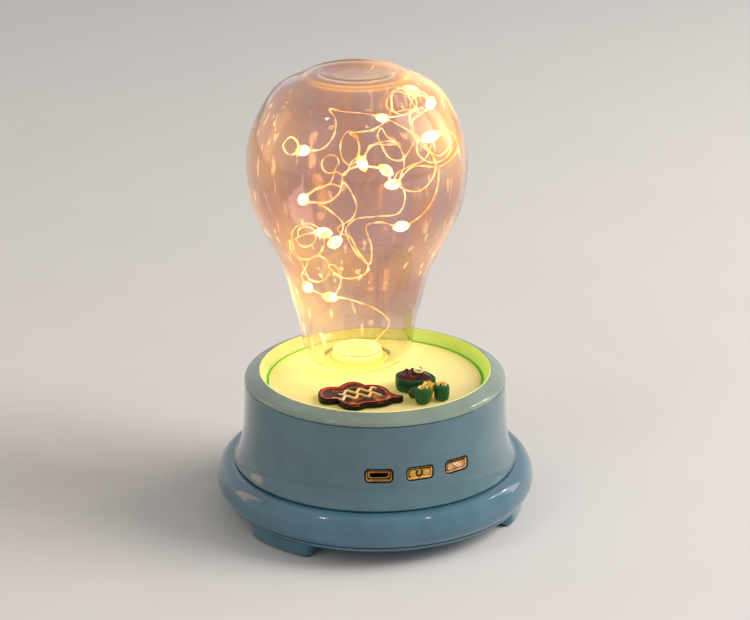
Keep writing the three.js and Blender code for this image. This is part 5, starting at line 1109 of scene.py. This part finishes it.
def grille():
    """A thin disc with one hole in the middle and two rings of holes round it."""
    places = [(0, 0)]
    for row in (1, 2):
        angle = np.arange(6 * row) * TURN / (6 * row)
        places += np.stack([row * GRILLE_ROW * np.cos(angle), row * GRILLE_ROW * np.sin(angle)], 1).tolist()
    holes = [circle(GRILLE_HOLE, HOLE_SIDES, x, y) for x, y in places]
    rim = circle(GRILLE_RADIUS, ROUND)
    parts = filled([rim] + holes, GRILLE_BOTTOM) + filled([rim] + holes, GRILLE_TOP)
    for outline in [rim] + holes:
        parts += pillar(outline, GRILLE_BOTTOM, GRILLE_TOP)
    return parts


def paper_cone():
    """The cone from its rim up to its neck."""
    cone = [(17.6, 11.45), (17.6, 11.95), (8.4, 17.35), (7.9, 17.35), (7.9, 16.85)]
    return lathe(cone, MEDIUM, over=True)


def dust_cap():
    """A thin dome turned down over the coil."""
    outside = arc((0, 16.55), (7.6, -1.8), 0, 90, 10)
    inside = arc((0, 16.55), (7.1, -1.3), 90, 0, 10)
    return lathe(np.concatenate([outside, inside, outside[:1]]), MEDIUM)


def cone_roll():
    """The half-round rubber roll between the cone and the basket."""
    outside = arc((19.65, 11.45), (-1.75, -1.75), 0, 180, 14)
    inside = arc((19.65, 11.45), (-1.25, -1.25), 180, 0, 14)
    return lathe(np.concatenate([outside, inside]), MEDIUM, over=True)


piece("steel_grille", grille(), plated_steel, slot="steel", replaces=["speaker_grille"])
piece("paper_cone", paper_cone(), pulp_paper, "speaker_cone", "cone_paper", ["speaker_cone"])
piece("paper_cap", dust_cap(), pulp_paper, "speaker_cone", "cone_paper", ["dust_cap"])
piece("rubber_roll", cone_roll(), moulded_rubber, slot="rubber", replaces=["cone_surround"])

# Bulb: glass, plug and collar
BULB_RADIUS = 41.4
BULB_HEIGHT = 114.2
GLASS_WALL = 1.8
BULB_SIDES = 200
BULB_STEPS = 260
BULB_SHARES = [
    (0.33, 0), (0.434, 0.014), (0.492, 0.046), (0.527, 0.107), (0.556, 0.168), (0.59, 0.211),
    (0.646, 0.294), (0.733, 0.375), (0.848, 0.458), (0.945, 0.54), (0.989, 0.622),
    (1, 0.703), (0.957, 0.788), (0.86, 0.869), (0.718, 0.938), (0.53, 0.974), (0.335, 1),
    (0.28, 0.994), (0.2, 0.986), (0.11, 0.983), (0, 0.982),
]


def bulb_glass():
    """A blown bulb, mouth down: the spline through its outline, whose last stretch is mirrored past the
    axis so that it crosses it level, and the same moved inwards by the glass's thickness."""
    anchors = np.array(BULB_SHARES) * (BULB_RADIUS, BULB_HEIGHT)
    mirrored = anchors[[-2, -3]] * (-1, 1)
    outline = spline(np.concatenate([anchors, mirrored]), BULB_STEPS)
    along = np.gradient(outline, axis=0)
    inward = np.stack([-along[:, 1], along[:, 0]], 1) / np.linalg.norm(along, axis=1, keepdims=True)
    inside = outline + GLASS_WALL * inward
    outline = np.concatenate([outline[outline[:, 0] > 0.05], [(0, anchors[-1, 1])]])
    inside = inside[(inside[:, 0] > 0.05) & (inside[:, 1] > 2.2)]
    crown = [(0, inside[-1, 1])]
    mouth = [(12.7, 2), (12.1, 1.5), (11.9, 0.9), (11.9, 0.3), (12.15, 0), (13.2, 0)]
    return lathe(np.concatenate([crown, inside[::-1], mouth, outline]), BULB_SIDES)


def plug():
    """The spigot in the bulb's mouth on its stem: two fine ridges near its top, and a round edge."""
    return lathe(
        np.concatenate(
            [
                [(0, 45.65), (8.4, 45.65), (8.4, 51.25), (9.3, 51.25), (9.3, 53.4)],
                arc((9.3, 53.75), (0.22, 0.35), -90, 90, 6),
                [(9.3, 54.3)],
                arc((9.3, 54.65), (0.22, 0.35), -90, 90, 6),
                arc((8.7, 55.75), (0.6, 0.6), 0, 90, 5),
                [(6.4, 56.35), (6.1, 56.1), (0, 56.1)],
            ]
        ),
        MEDIUM,
    )


def collar():
    """A flat ring round the plug's foot with soft edges."""
    return lathe(
        rounded([(9.6, 51.25, 0), (11.5, 51.25, 0), (11.5, 52.75, 0.5), (9.6, 52.75, 0.4)]), MEDIUM, over=True
    )


for name, parts, node in (("bulb_holder", plug(), "bulb_plug"), ("holder_collar", collar(), "plug_collar")):
    piece(name, placed(parts, y=BULB_Y), plug_plastic, slot="cream_plastic", replaces=[node])

# String of lights: [x, y, z] up to the plug, then [across, near, height] from the bulb's axis as it is
# seen from the front left
STRING_LEAD = [
    [16, -25, 32], [16, -24.6, 34.5], [14.5, -17, 37.5], [11, -2, 38.5], [7.5, 12, 41], [5.6, 18.6, 44.5],
    [5.5, 19.1, 48], [5.5, 19.1, 52], [5.5, 19.1, 56.5],
]
LOOP_POINTS = 8


def loop(across, near, height, wide, start, turn, drift, high=None):
    """Points round an upright loop that drifts nearer or farther as it turns."""
    count = round(LOOP_POINTS * abs(turn) / 360)
    share = np.arange(count + 1) / count
    angle = np.radians(start + turn * share)
    return np.stack(
        [across + wide * np.cos(angle), near + drift * share, height + (high or wide) * np.sin(angle)], 1
    ).tolist()


STRING_ROUTE = [
    [9.5, 4, 63.5], [12, 7, 69], [8.5, 9, 74], [2.5, 11, 78], [-5, 11, 80.5], [-10, 10, 80.5],
    [-15, 6, 81], [-19, 0, 81], [-21.5, -4.5, 84],
    *loop(-15, -4, 87.5, 4.6, 180, -360, 4.5),
    *loop(-18.5, 4, 101.5, 6.3, 200, -390, 7),
    *loop(-18.5, 13, 106, 3.5, 200, -380, 4.5),
    [-12, 20, 109], [-8, 19, 105], [-5, 15, 110.5], [-9.5, 13, 115], [-15.5, 8.5, 117],
    [-20, 4, 116.5], [-16, -2, 118], [-10, -4, 120.5],
    *loop(-10, -5, 128.5, 3.2, -50, 360, 5),
    [-4.5, 2.5, 125.5],
    *loop(-2.5, 5, 137.5, 3.5, -80, 530, 5, 6.2),
    [6, 2, 143], [11.5, -5, 145.5],
    *loop(17.5, -9, 150, 4.8, 190, -450, -4),
    [20.5, -14.5, 153.5],
    *loop(23.5, -12, 150, 3.6, 60, -380, 4.5),
    [27.5, -5, 151.5], [25, -1, 149], [20.5, 4, 147],
    *loop(28, 8.5, 139, 6.3, 165, 330, 4),
    [26.5, 15, 144], [32, 13, 145.5], [36, 7, 141], [37, 1, 134], [31.5, -4, 127], [21, -8, 125.5],
    [13.5, -9.5, 118], [11, -10, 123.5], [2, -12, 125.5], [7, -14.5, 132.5],
    [15, -17, 132], [18, -18, 124], [16.5, -18, 117], [18.5, -14, 111.5], [16, -12, 106], [7, -12, 104.5],
    [-1, -14, 102.5], [-4.5, -14, 98], [-1, -11, 91], [4.5, -6, 88], [5.5, -1, 96], [3.5, 4, 106],
    [9, 8, 109], [16.5, 10, 108], [25, 6, 112], [30, 0, 119], [30.5, -14, 125], [24, -22, 132.5],
    [16.5, -20.5, 138], [9.5, -16, 143], [2.5, -14, 146], [-5, -12, 147.5], [-10, -9.5, 149],
    [-8, -5, 145.5], [-8.5, 1, 140.5], [-13, 7, 137], [-19.5, 12, 138], [-24.5, 15.5, 137.5],
    [-26.5, 16, 141], [-24, 13.5, 143.5], [-21.5, 10.5, 140.5], [-22, 8.5, 134.5],
]
LIGHTS = [
    [-10, 10, 80.5], [-19, 0, 81], [-12, 20, 109], [-8, 19, 105], [-20, 4, 116.5], [20.5, -14.5, 153.5],
    [27.5, -5, 151.5], [26.5, 15, 144], [13.5, -9.5, 118], [11, -10, 123.5], [2, -12, 125.5],
    [16.5, 10, 108], [9.5, -16, 143], [-19.5, 12, 138],
]


# The wire's loose end, doubled back through the bulb from one light to another
STRING_RETURN = [
    [9.5, -16, 143], [14.7, -14, 143.9], [18.6, -12, 145.4], [21.4, -10, 149.2], [18.6, -8, 153.3],
    [14.2, -6, 154.2], [10.9, -4, 151.7], [13.6, -2, 149.2], [19.2, 0, 150.4], [19.7, 2, 145.4],
    [21.9, 4, 139.8], [26.4, 7, 136.4], [30.3, 9, 135.1], [33.6, 10, 139.2], [32.5, 9, 143.3],
    [28.5, 8, 141], [25.3, 6, 133], [19.2, 2, 128.6], [14.7, -2, 124.3], [14.7, -4, 120.5], [18.1, -3, 118.1],
    [23.6, 0, 118.6], [28, 2, 123.6], [29.4, 0, 128.6], [26.5, -3, 134.5], [22.5, -4, 137.3],
    [19.7, -6, 132.4], [16.4, -8, 128], [12, -10, 128.6], [9.2, -12, 133], [7.8, -14, 136.1],
    [9.2, -15, 138.6], [11.4, -14, 135.5], [16.4, -12, 133.3], [11.4, -10, 133.6], [5.3, -9, 133.6],
    [3.7, -10, 131.1], [2, -12, 125.5], [-1.9, -9, 124.6], [-5.2, -6, 123], [-5.8, -4, 119.3],
    [-9.6, -2, 120.5], [-16.3, 2, 119.5], [-20, 4, 116.5], [-15.2, 0, 114], [-10.7, -4, 113],
    [-6.9, -7, 115.2],
    [-5.2, -8, 119.2], [-3, -8, 116.8], [-0.8, -6, 113], [-0.2, -4, 111.2], [-1.6, -3, 107.1],
    [-4.1, -2, 105.5], [-7.4, 0, 103.7], [-5.2, 1, 101.5], [-3, 0, 100.5], [0.3, 2, 95.6], [4.2, 4, 90.6],
    [3.1, 6, 88.7], [-1.9, 8, 87.4], [-6.3, 9, 88.4], [-10.7, 8, 92.4], [-8.5, 6, 91.8], [-6.3, 5, 88.4],
    [-6.3, 6, 84.3], [-8, 8, 81.2], [-10, 10, 80.5],
]


def in_bulb(places):
    """Places in the bulb turned to the lamp's own axes: across is to the viewer's right, near is forwards."""
    across, near, height = np.asarray(places, float).T
    turn = math.radians(TURN_DEGREES)
    x = across * math.cos(turn) + near * math.sin(turn)
    y = BULB_Y + across * math.sin(turn) - near * math.cos(turn)
    return np.stack([x, y, height], 1)


STRAND = 0.13  # radius of one of the wire's two strands
STRAND_APART = 0.22  # from the pair's middle to each strand
STRAND_PITCH = 14
STRAND_SIDES = 6
RESIN_RISE = 0.25  # how much resin thickens a strand at a light
RESIN_REACH = 3.2  # and how far along the wire


def wire_pair():
    """Two fine strands that turn slowly round each other: centre +- apart (cos w across + sin w other),
    where w grows by a full turn for each pitch along the wire. Resin thickens them beside each light."""
    parts = []
    for route in (np.concatenate([STRING_LEAD, in_bulb(STRING_ROUTE)]), in_bulb(STRING_RETURN)):
        path = loose_curve(route, 9)
        ahead, across = carried(path)
        other = np.cross(ahead, across)
        length = np.concatenate([[0], np.cumsum(np.linalg.norm(np.diff(path, axis=0), axis=1))])
        turn = (TURN * length / STRAND_PITCH)[:, None]
        aside = STRAND_APART * (np.cos(turn) * across + np.sin(turn) * other)
        drop = RESIN_RISE * np.exp(-((near_light(path) / RESIN_REACH) ** 2))
        for side in (aside, -aside):
            parts += tube(path + side, STRAND + drop, STRAND_SIDES)
    return parts


def drops(radius, power, half_length, steps):
    """The same small turned drop at every light, drawn out along the wire there: r = radius sin^power u,
    h = -half_length cos u."""
    u = np.linspace(0, math.pi, steps)
    reach = radius * np.clip(np.sin(u), 0, 1) ** power
    reach[-1] = 0
    (points, faces), = lathe(np.stack([reach, -half_length * np.cos(u)], 1), 24)
    path = in_bulb(STRING_ROUTE)
    ahead = np.gradient(path, axis=0)
    parts = []
    for place in in_bulb(LIGHTS):
        along = ahead[np.argmin(np.linalg.norm(path - place, axis=1))]
        along = along / np.linalg.norm(along)
        across = np.cross(along, ASKEW)
        across /= np.linalg.norm(across)
        parts.append((points @ np.stack([across, np.cross(along, across), along]) + place, faces))
    return parts


def near_light(points):
    """Each point's distance to the nearest light."""
    return np.linalg.norm(points[:, None] - in_bulb(LIGHTS)[None], axis=2).min(1)


piece("blown_bulb", placed(bulb_glass(), y=BULB_Y, z=BULB_FOOT), blown_glass, slot="glass",
      replaces=["bulb_glass"], measure=near_light)
piece(
    "gold_wire_pair", wire_pair(), gold_wire, slot="lit_wire", replaces=["fairy_string"], measure=near_light
)
piece("light_cores", drops(1.4, 1, 2, 17), light_core, slot="lit_wire", measure=near_light)
piece("light_drops", drops(2, 1.6, 3.4, 25), epoxy_drop, slot="lit_wire")

# Ornaments glued to the disc. The cloud's curves are given by bends and ends, as shares of its size
CLOUD_SIZE = (30, 22.6)
CLOUD_SHARES = [
    (0.09, 0.68, 0.17, 0.3), (0.4, 0.27, 0.39, -0.08), (0.39, -0.26, 0.5, -0.32), (0.5, -0.44, 0.35, -0.4),
    (0.21, -0.54, -0.01, -0.44), (-0.28, -0.62, -0.31, -0.13), (-0.51, -0.13, -0.49, 0.1),
    (-0.43, 0.52, -0.16, 0.37),
]


def cloud_outline():
    """Quadratic curves from each end to the next: (1-t)^2 start + 2t(1-t) bend + t^2 end."""
    rows = np.array(CLOUD_SHARES)
    bend, end = rows[:, None, :2], rows[:, None, 2:]
    start = np.roll(end, 1, 0)
    t = (np.arange(12) / 12)[None, :, None]
    return ((1 - t) ** 2 * start + 2 * t * (1 - t) * bend + t**2 * end).reshape(-1, 2) * CLOUD_SIZE


def plaque():
    """A lacquered cloud with a round raised rim and a sunk face."""
    section = np.concatenate(
        [
            [(0.3, 0), (0.08, 0.1), (0, 0.4), (0, 1.8)],
            arc((0.55, 1.8), (-0.55, 0.6), 0, 90, 5)[1:],
            arc((0.55, 2.05), (0.4, 0.35), 90, 10, 4)[1:],
            [(1.1, PLAQUE_FACE)],
        ]
    )
    return swept(cloud_outline(), section)


def plaque_line():
    """The thin raised line that follows the rim inside."""
    section = [(0.85, 1.9), (0.95, 2.3), (1.3, 2.42), (1.65, 2.25), (1.75, 1.9)]
    return swept(cloud_outline(), section, over=True)


def plaque_waves():
    """Two raised waves, y = a sin x, on the sunk face, thickest at their middles."""
    x = np.linspace(-1, 1, 81)
    swing, crowding = 1.5, 1.25
    parts = []
    for middle, y, half in ((0.6, 2.4, 7.6), (-1.2, -2.3, 9.2)):
        wave = y + swing * np.sin(half * x * crowding)
        path = np.column_stack([middle + half * x, wave, np.full(len(x), 2.0)])
        parts += tube(path, 0.5 * np.sqrt(np.clip(1 - x**4, 0, 1)) + 0.08, 10)
    return parts


EGG_SHARES = [
    (-0.5, 0), (-0.36, 0.36), (0, 0.5), (0.32, 0.32), (0.5, 0.02), (0.3, -0.3), (0, -0.47), (-0.36, -0.36),
]
EGG_SAMPLES = 9
BOWL_SIZE = np.array((15.6, 13))


def egg_outline(margin):
    """A closed smooth curve through the egg's shares of the bowl's size."""
    places = np.array(EGG_SHARES) * (BOWL_SIZE - 2 * margin)
    wrapped = np.concatenate([places[-3:], places, places[:3]])
    solid = np.column_stack([wrapped, np.zeros(len(wrapped))])
    start = 3 * EGG_SAMPLES
    return loose_curve(solid, EGG_SAMPLES)[start : start + len(places) * EGG_SAMPLES, :2][::-1]


def bowl():
    """A low egg-shaped bowl with a round rim."""
    section = np.concatenate(
        [
            [(0.9, 0.9), (0.85, 4.5)],
            arc((0.4, 4.85), (0.42, 0.45), 0, 180, 8),
            [(-0.14, 3.4), (-0.1, 1.9), (0.05, 0.8), (0.3, 0.2), (0.8, 0)],
        ]
    )
    return swept(egg_outline(0.15), section)


MOUND_RISE = 2.1
MOUND_LEVEL = 4.45  # of its edge above the disc
LUMPS = [
    (-3.9, 0.7, 1.3, 1.6), (-2.6, -2.2, 1.2, 1.4), (-1.9, 2.6, 1.1, 1.4), (-0.6, 0.2, 0.8, 1.7),
    (1.6, 2.2, 0.6, 1.6), (3.2, -0.4, 0.5, 1.8),
]  # along, aside, rise and width


def mound():
    """A dome over the bowl's outline, z = rise sqrt(1 - r^2), with round lumps, each a bell of its own
    height and width."""
    outline = egg_outline(0.95)
    share = np.sin(np.linspace(0, math.pi / 2, 34))[::-1, None, None]
    flat = outline[None] * share
    x, y = flat[..., 0], flat[..., 1]
    fade = 1 - share[..., 0] ** 8
    rise = MOUND_RISE * np.sqrt(np.clip(1 - share[..., 0] ** 2, 0, 1)) * np.ones(len(outline))
    for along, aside, high, wide in LUMPS:
        rise = rise + fade * high * np.exp(-((x - along) ** 2 + (y - aside) ** 2) / (0.7 * wide) ** 2)
    top = np.concatenate([flat, (MOUND_LEVEL + rise)[..., None]], 2)
    foot = np.column_stack([outline, np.full(len(outline), 1.2)])
    return [grid(np.concatenate([foot[None], top])), (foot, np.arange(len(outline))[None])]


def cream_curl():
    """A curl that winds in on itself, leaning forwards: its radius falls as it turns, and its ends taper."""
    share = np.linspace(0, 1, 61)
    angle = np.radians(100 - 290 * share)
    radius = 1.7 - 0.15 * share
    x, y = radius * np.cos(angle), radius * np.sin(angle)
    path = np.stack([x + 0.9, y + 0.5, 7.55 + 0.25 * share + 0.3 * y - 0.1 * x], 1)
    ends = np.sqrt(np.clip(1 - (2 * share - 1) ** 6, 0, 1))
    return tube(path, 0.36 * ends * (1.15 - 0.4 * share) + 0.05, 14)


def cup():
    """A barrel-shaped cup with a soft foot and a hollow top."""
    anchors = [
        (2.1, 0), (2.55, 0.35), (2.78, 1.2), (2.9, 3.3), (2.8, 4.9), (2.5, 5.7), (2.05, 5.98), (1.6, 5.85),
        (1.3, 5.2),
    ]
    return lathe(np.concatenate([[(0, 0)], spline(anchors, 44), [(0, 5.1)]]), FINE)


def cup_cream(turn):
    """A scalloped curl of cream in the cup's top, open at one place: its centre line's radius and height
    ripple as it goes round."""
    share = np.linspace(0, 1, 121)
    angle = np.radians(turn + 300 * share)
    radius = 1.42 + 0.14 * np.cos(6 * angle)
    path = np.stack([radius * np.cos(angle), radius * np.sin(angle), 5.85 + 0.14 * np.sin(5 * angle)], 1)
    size = 0.48 * (1 + 0.2 * np.cos(6 * angle)) * np.sqrt(np.clip(1 - (2 * share - 1) ** 10, 0, 1)) + 0.04
    knob = lathe([(0, 6.05), (0.3, 5.95), (0.45, 5.7), (0.3, 5.2), (0, 5.1)], 20)
    return tube(path, size, 14) + placed(knob, 0.25, 0.2)


def small_egg():
    """An egg that narrows upwards: r = 2.15 sin u (1 + 0.16 cos u), h = 2.25 (1 - cos u)."""
    u = np.linspace(0, math.pi, 33)
    radius = 2.15 * np.sin(u) * (1 + 0.16 * np.cos(u))
    radius[[0, -1]] = 0
    return lathe(np.stack([radius, 2.25 - 2.25 * np.cos(u)], 1), FINE)


FLAKE_SIDES = 26


def flake():
    """A crumpled chip: a turned shape whose radius and height ripple, r (1 + 0.16 sin(4 a + 2.1 k)) in
    row k."""
    angles = np.arange(FLAKE_SIDES) * TURN / FLAKE_SIDES
    rows = turned([(1.3, 0), (1.5, 1.3), (1.6, 2.8), (2.0, 4.2), (2.1, 5.3), (1.5, 6.0), (0.7, 5.6)], angles)
    ripple = np.sin(4 * angles[None] + 2.1 * np.arange(len(rows))[:, None])
    rows[..., :2] *= 1 + 0.16 * ripple[..., None]
    rows[-3:, :, 2] += 0.55 * ripple[-3:]
    number = np.arange(FLAKE_SIDES)[None]
    return [grid(rows), (rows[0], number), (rows[-1], number)]


def on_disc(name, parts, material, slot, node, x, y, turn=0, **more):
    """An ornament set down on the disc."""
    parts = placed(parts, x, y, ORNAMENT_FLOOR, turn)
    piece(name, parts, material, slot=slot, replaces=[node] if node else (), **more)


PLAQUE_PLACE = (-12.9, -18)
BOWL_PLACE = (10.4, -16, -38)
LEFT_CUP = (8.4, -29.36)
RIGHT_CUP = (16.1, -28.44)
on_disc("cloud_plate", plaque(), lacquer_painted_highlights(), "plaque_black", "cloud_plaque", *PLAQUE_PLACE)
on_disc("cloud_line", plaque_line(), red_enamel, "plaque_black", None, *PLAQUE_PLACE)
on_disc("cloud_waves", plaque_waves(), cream_resin, "plaque_black", None, *PLAQUE_PLACE)
on_disc("egg_bowl", bowl(), green_resin, "green_resin", "ornament_bowl", *BOWL_PLACE)
on_disc("bowl_filling", mound(), brown_resin, "brown_resin", "ornament_mound", *BOWL_PLACE)
on_disc("cream_curl", cream_curl(), cream_resin, "cream_resin", "ornament_ring", *BOWL_PLACE)
on_disc("cup_left", cup(), green_resin, "green_resin", "ornament_cup_left", *LEFT_CUP)
on_disc("cup_right", cup(), green_resin, "green_resin", "ornament_cup_right", *RIGHT_CUP)
on_disc("cup_left_cream", cup_cream(-60), butter_resin, "cream_resin", None, *LEFT_CUP)
on_disc("cup_right_cream", cup_cream(-90), butter_resin, "cream_resin", None, *RIGHT_CUP)
on_disc("little_egg", small_egg(), green_resin, "green_resin", "ornament_egg", 6.8, -24.3)
on_disc("crumpled_flake", flake(), yellow_resin, "yellow_resin", "ornament_flake", 11.85, -26, sharp=20)

# The solids that stay, inside the lamp
epoxy_board = circuit_board()
coil_copper = wound_copper()
KEPT = {
    "power_plunger": grained_abs, "mode_plunger": grained_abs, "power_switch": grained_abs,
    "mode_switch": grained_abs, "control_board": epoxy_board, "radio_module": plated_steel,
    "board_screw_left": plated_steel, "board_screw_right": plated_steel, "speaker_gasket": moulded_rubber,
    "speaker_basket": grained_abs, "speaker_top_plate": plated_steel, "speaker_magnet": ferrite,
    "speaker_yoke": plated_steel, "voice_coil": coil_copper, "cone_spider": phenolic_cloth,
    "battery_cell": shrink_film, "battery_cradle": grained_abs, "plug_nut": plug_plastic,
    "battery_lead": red_pvc, "speaker_lead": black_pvc,
    **{f"speaker_screw_{i}": plated_steel for i in range(1, 5)},
}
for name, material in KEPT.items():
    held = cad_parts[name]
    held.data.materials.clear()
    held.data.materials.append(material)


# Floor and light
def pale_floor():
    """A wide pale floor, plain matt paint, which lets a view from below through."""
    made, tree, shader, place = blank("matt_paint", {"Roughness": 0.9, "Specular IOR Level": 0.1})
    mottle = add(tree, "TexNoise", {"Vector": place, "Scale": per(60), "Detail": 2})
    shade = add(
        tree, "ValToRGB", {"Fac": mottle.outputs["Fac"]}, [(0.3, "#E6E7E8"), (0.7, "#E8E9EA")]
    ).outputs["Color"]
    tree.links.new(shade, shader.inputs["Base Color"])
    side = add(tree, "NewGeometry")
    solid = add(tree, "Math", {0: 1.0, 1: side.outputs["Backfacing"]}, operation="SUBTRACT")
    tree.links.new(solid.outputs[0], shader.inputs["Alpha"])
    sheet = bpy.data.meshes.new("floor")
    half = 6  # metres
    corners = [(-half, -half, 0), (half, -half, 0), (half, half, 0), (-half, half, 0)]
    sheet.from_pydata(corners, [], [(0, 1, 2, 3)])
    sheet.materials.append(made)
    floor = bpy.data.objects.new("floor", sheet)
    scene.collection.objects.link(floor)


LAMP_MIDDLE = (0, 0, 0.07)


def soft_light(name, place, size, power, colour, mirrored=True):
    """A soft box of a width and height aimed at the lamp's middle, which gloss mirrors or not."""
    data = bpy.data.lights.new(name, "AREA")
    data.shape, data.size, data.size_y = "RECTANGLE", *size
    data.energy, data.color = power, srgb(colour)[:3]
    box = bpy.data.objects.new(name, data)
    box.location = place
    aim = np.array(LAMP_MIDDLE) - place
    box.rotation_euler = (math.atan2(math.hypot(aim[0], aim[1]), -aim[2]), 0, math.atan2(-aim[0], aim[1]))
    box.visible_glossy = mirrored
    box.visible_camera = False
    scene.collection.objects.link(box)


def pale_world():
    """Even pale light all round: weak on the object, and at full strength behind it and in what gloss and
    glass show."""
    world = bpy.data.worlds.new("studio")
    world.use_nodes = True
    tree = world.node_tree
    seen = add(tree, "LightPath")
    bounced = add(
        tree, "Math", {0: seen.outputs["Is Glossy Ray"], 1: seen.outputs["Is Transmission Ray"]},
        operation="MAXIMUM",
    )
    shown = add(
        tree, "Math", {0: seen.outputs["Is Camera Ray"], 1: bounced.outputs[0]}, operation="MAXIMUM"
    )
    level = add(tree, "MapRange", {"Value": shown.outputs[0], "To Min": 0.38, "To Max": 1.0})
    back = tree.nodes["Background"]
    back.inputs["Color"].default_value = srgb("#DCDEDF")
    tree.links.new(level.outputs["Result"], back.inputs["Strength"])
    scene.world = world


pale_floor()
pale_world()
soft_light("key", (1.15, -0.45, 0.95), (0.9, 0.9), 20, "#FFF4EA", mirrored=False)
soft_light("fill", (-1.2, -0.5, 0.8), (0.9, 0.9), 3, "#FFEEDC", mirrored=False)
soft_light("right_panel", (1.2, 0.2, 0.55), (0.3, 0.8), 1.5, "#FFE8DC")
soft_light("left_panel", (-0.98, 0.72, 0.45), (0.3, 0.8), 1.0, "#FFC078")
# Small lamps whose reflections spark on the gloss
SPARKS = [(0.45, -0.7, 1.2), (-0.75, -0.25, 1.2), (1.1, 0.1, 0.95), (1.15, 0.3, 0.8)]
for number, place in enumerate(SPARKS):
    soft_light(f"spark_{number}", place, (0.07, 0.07), 0.5, "#FFF4E0")
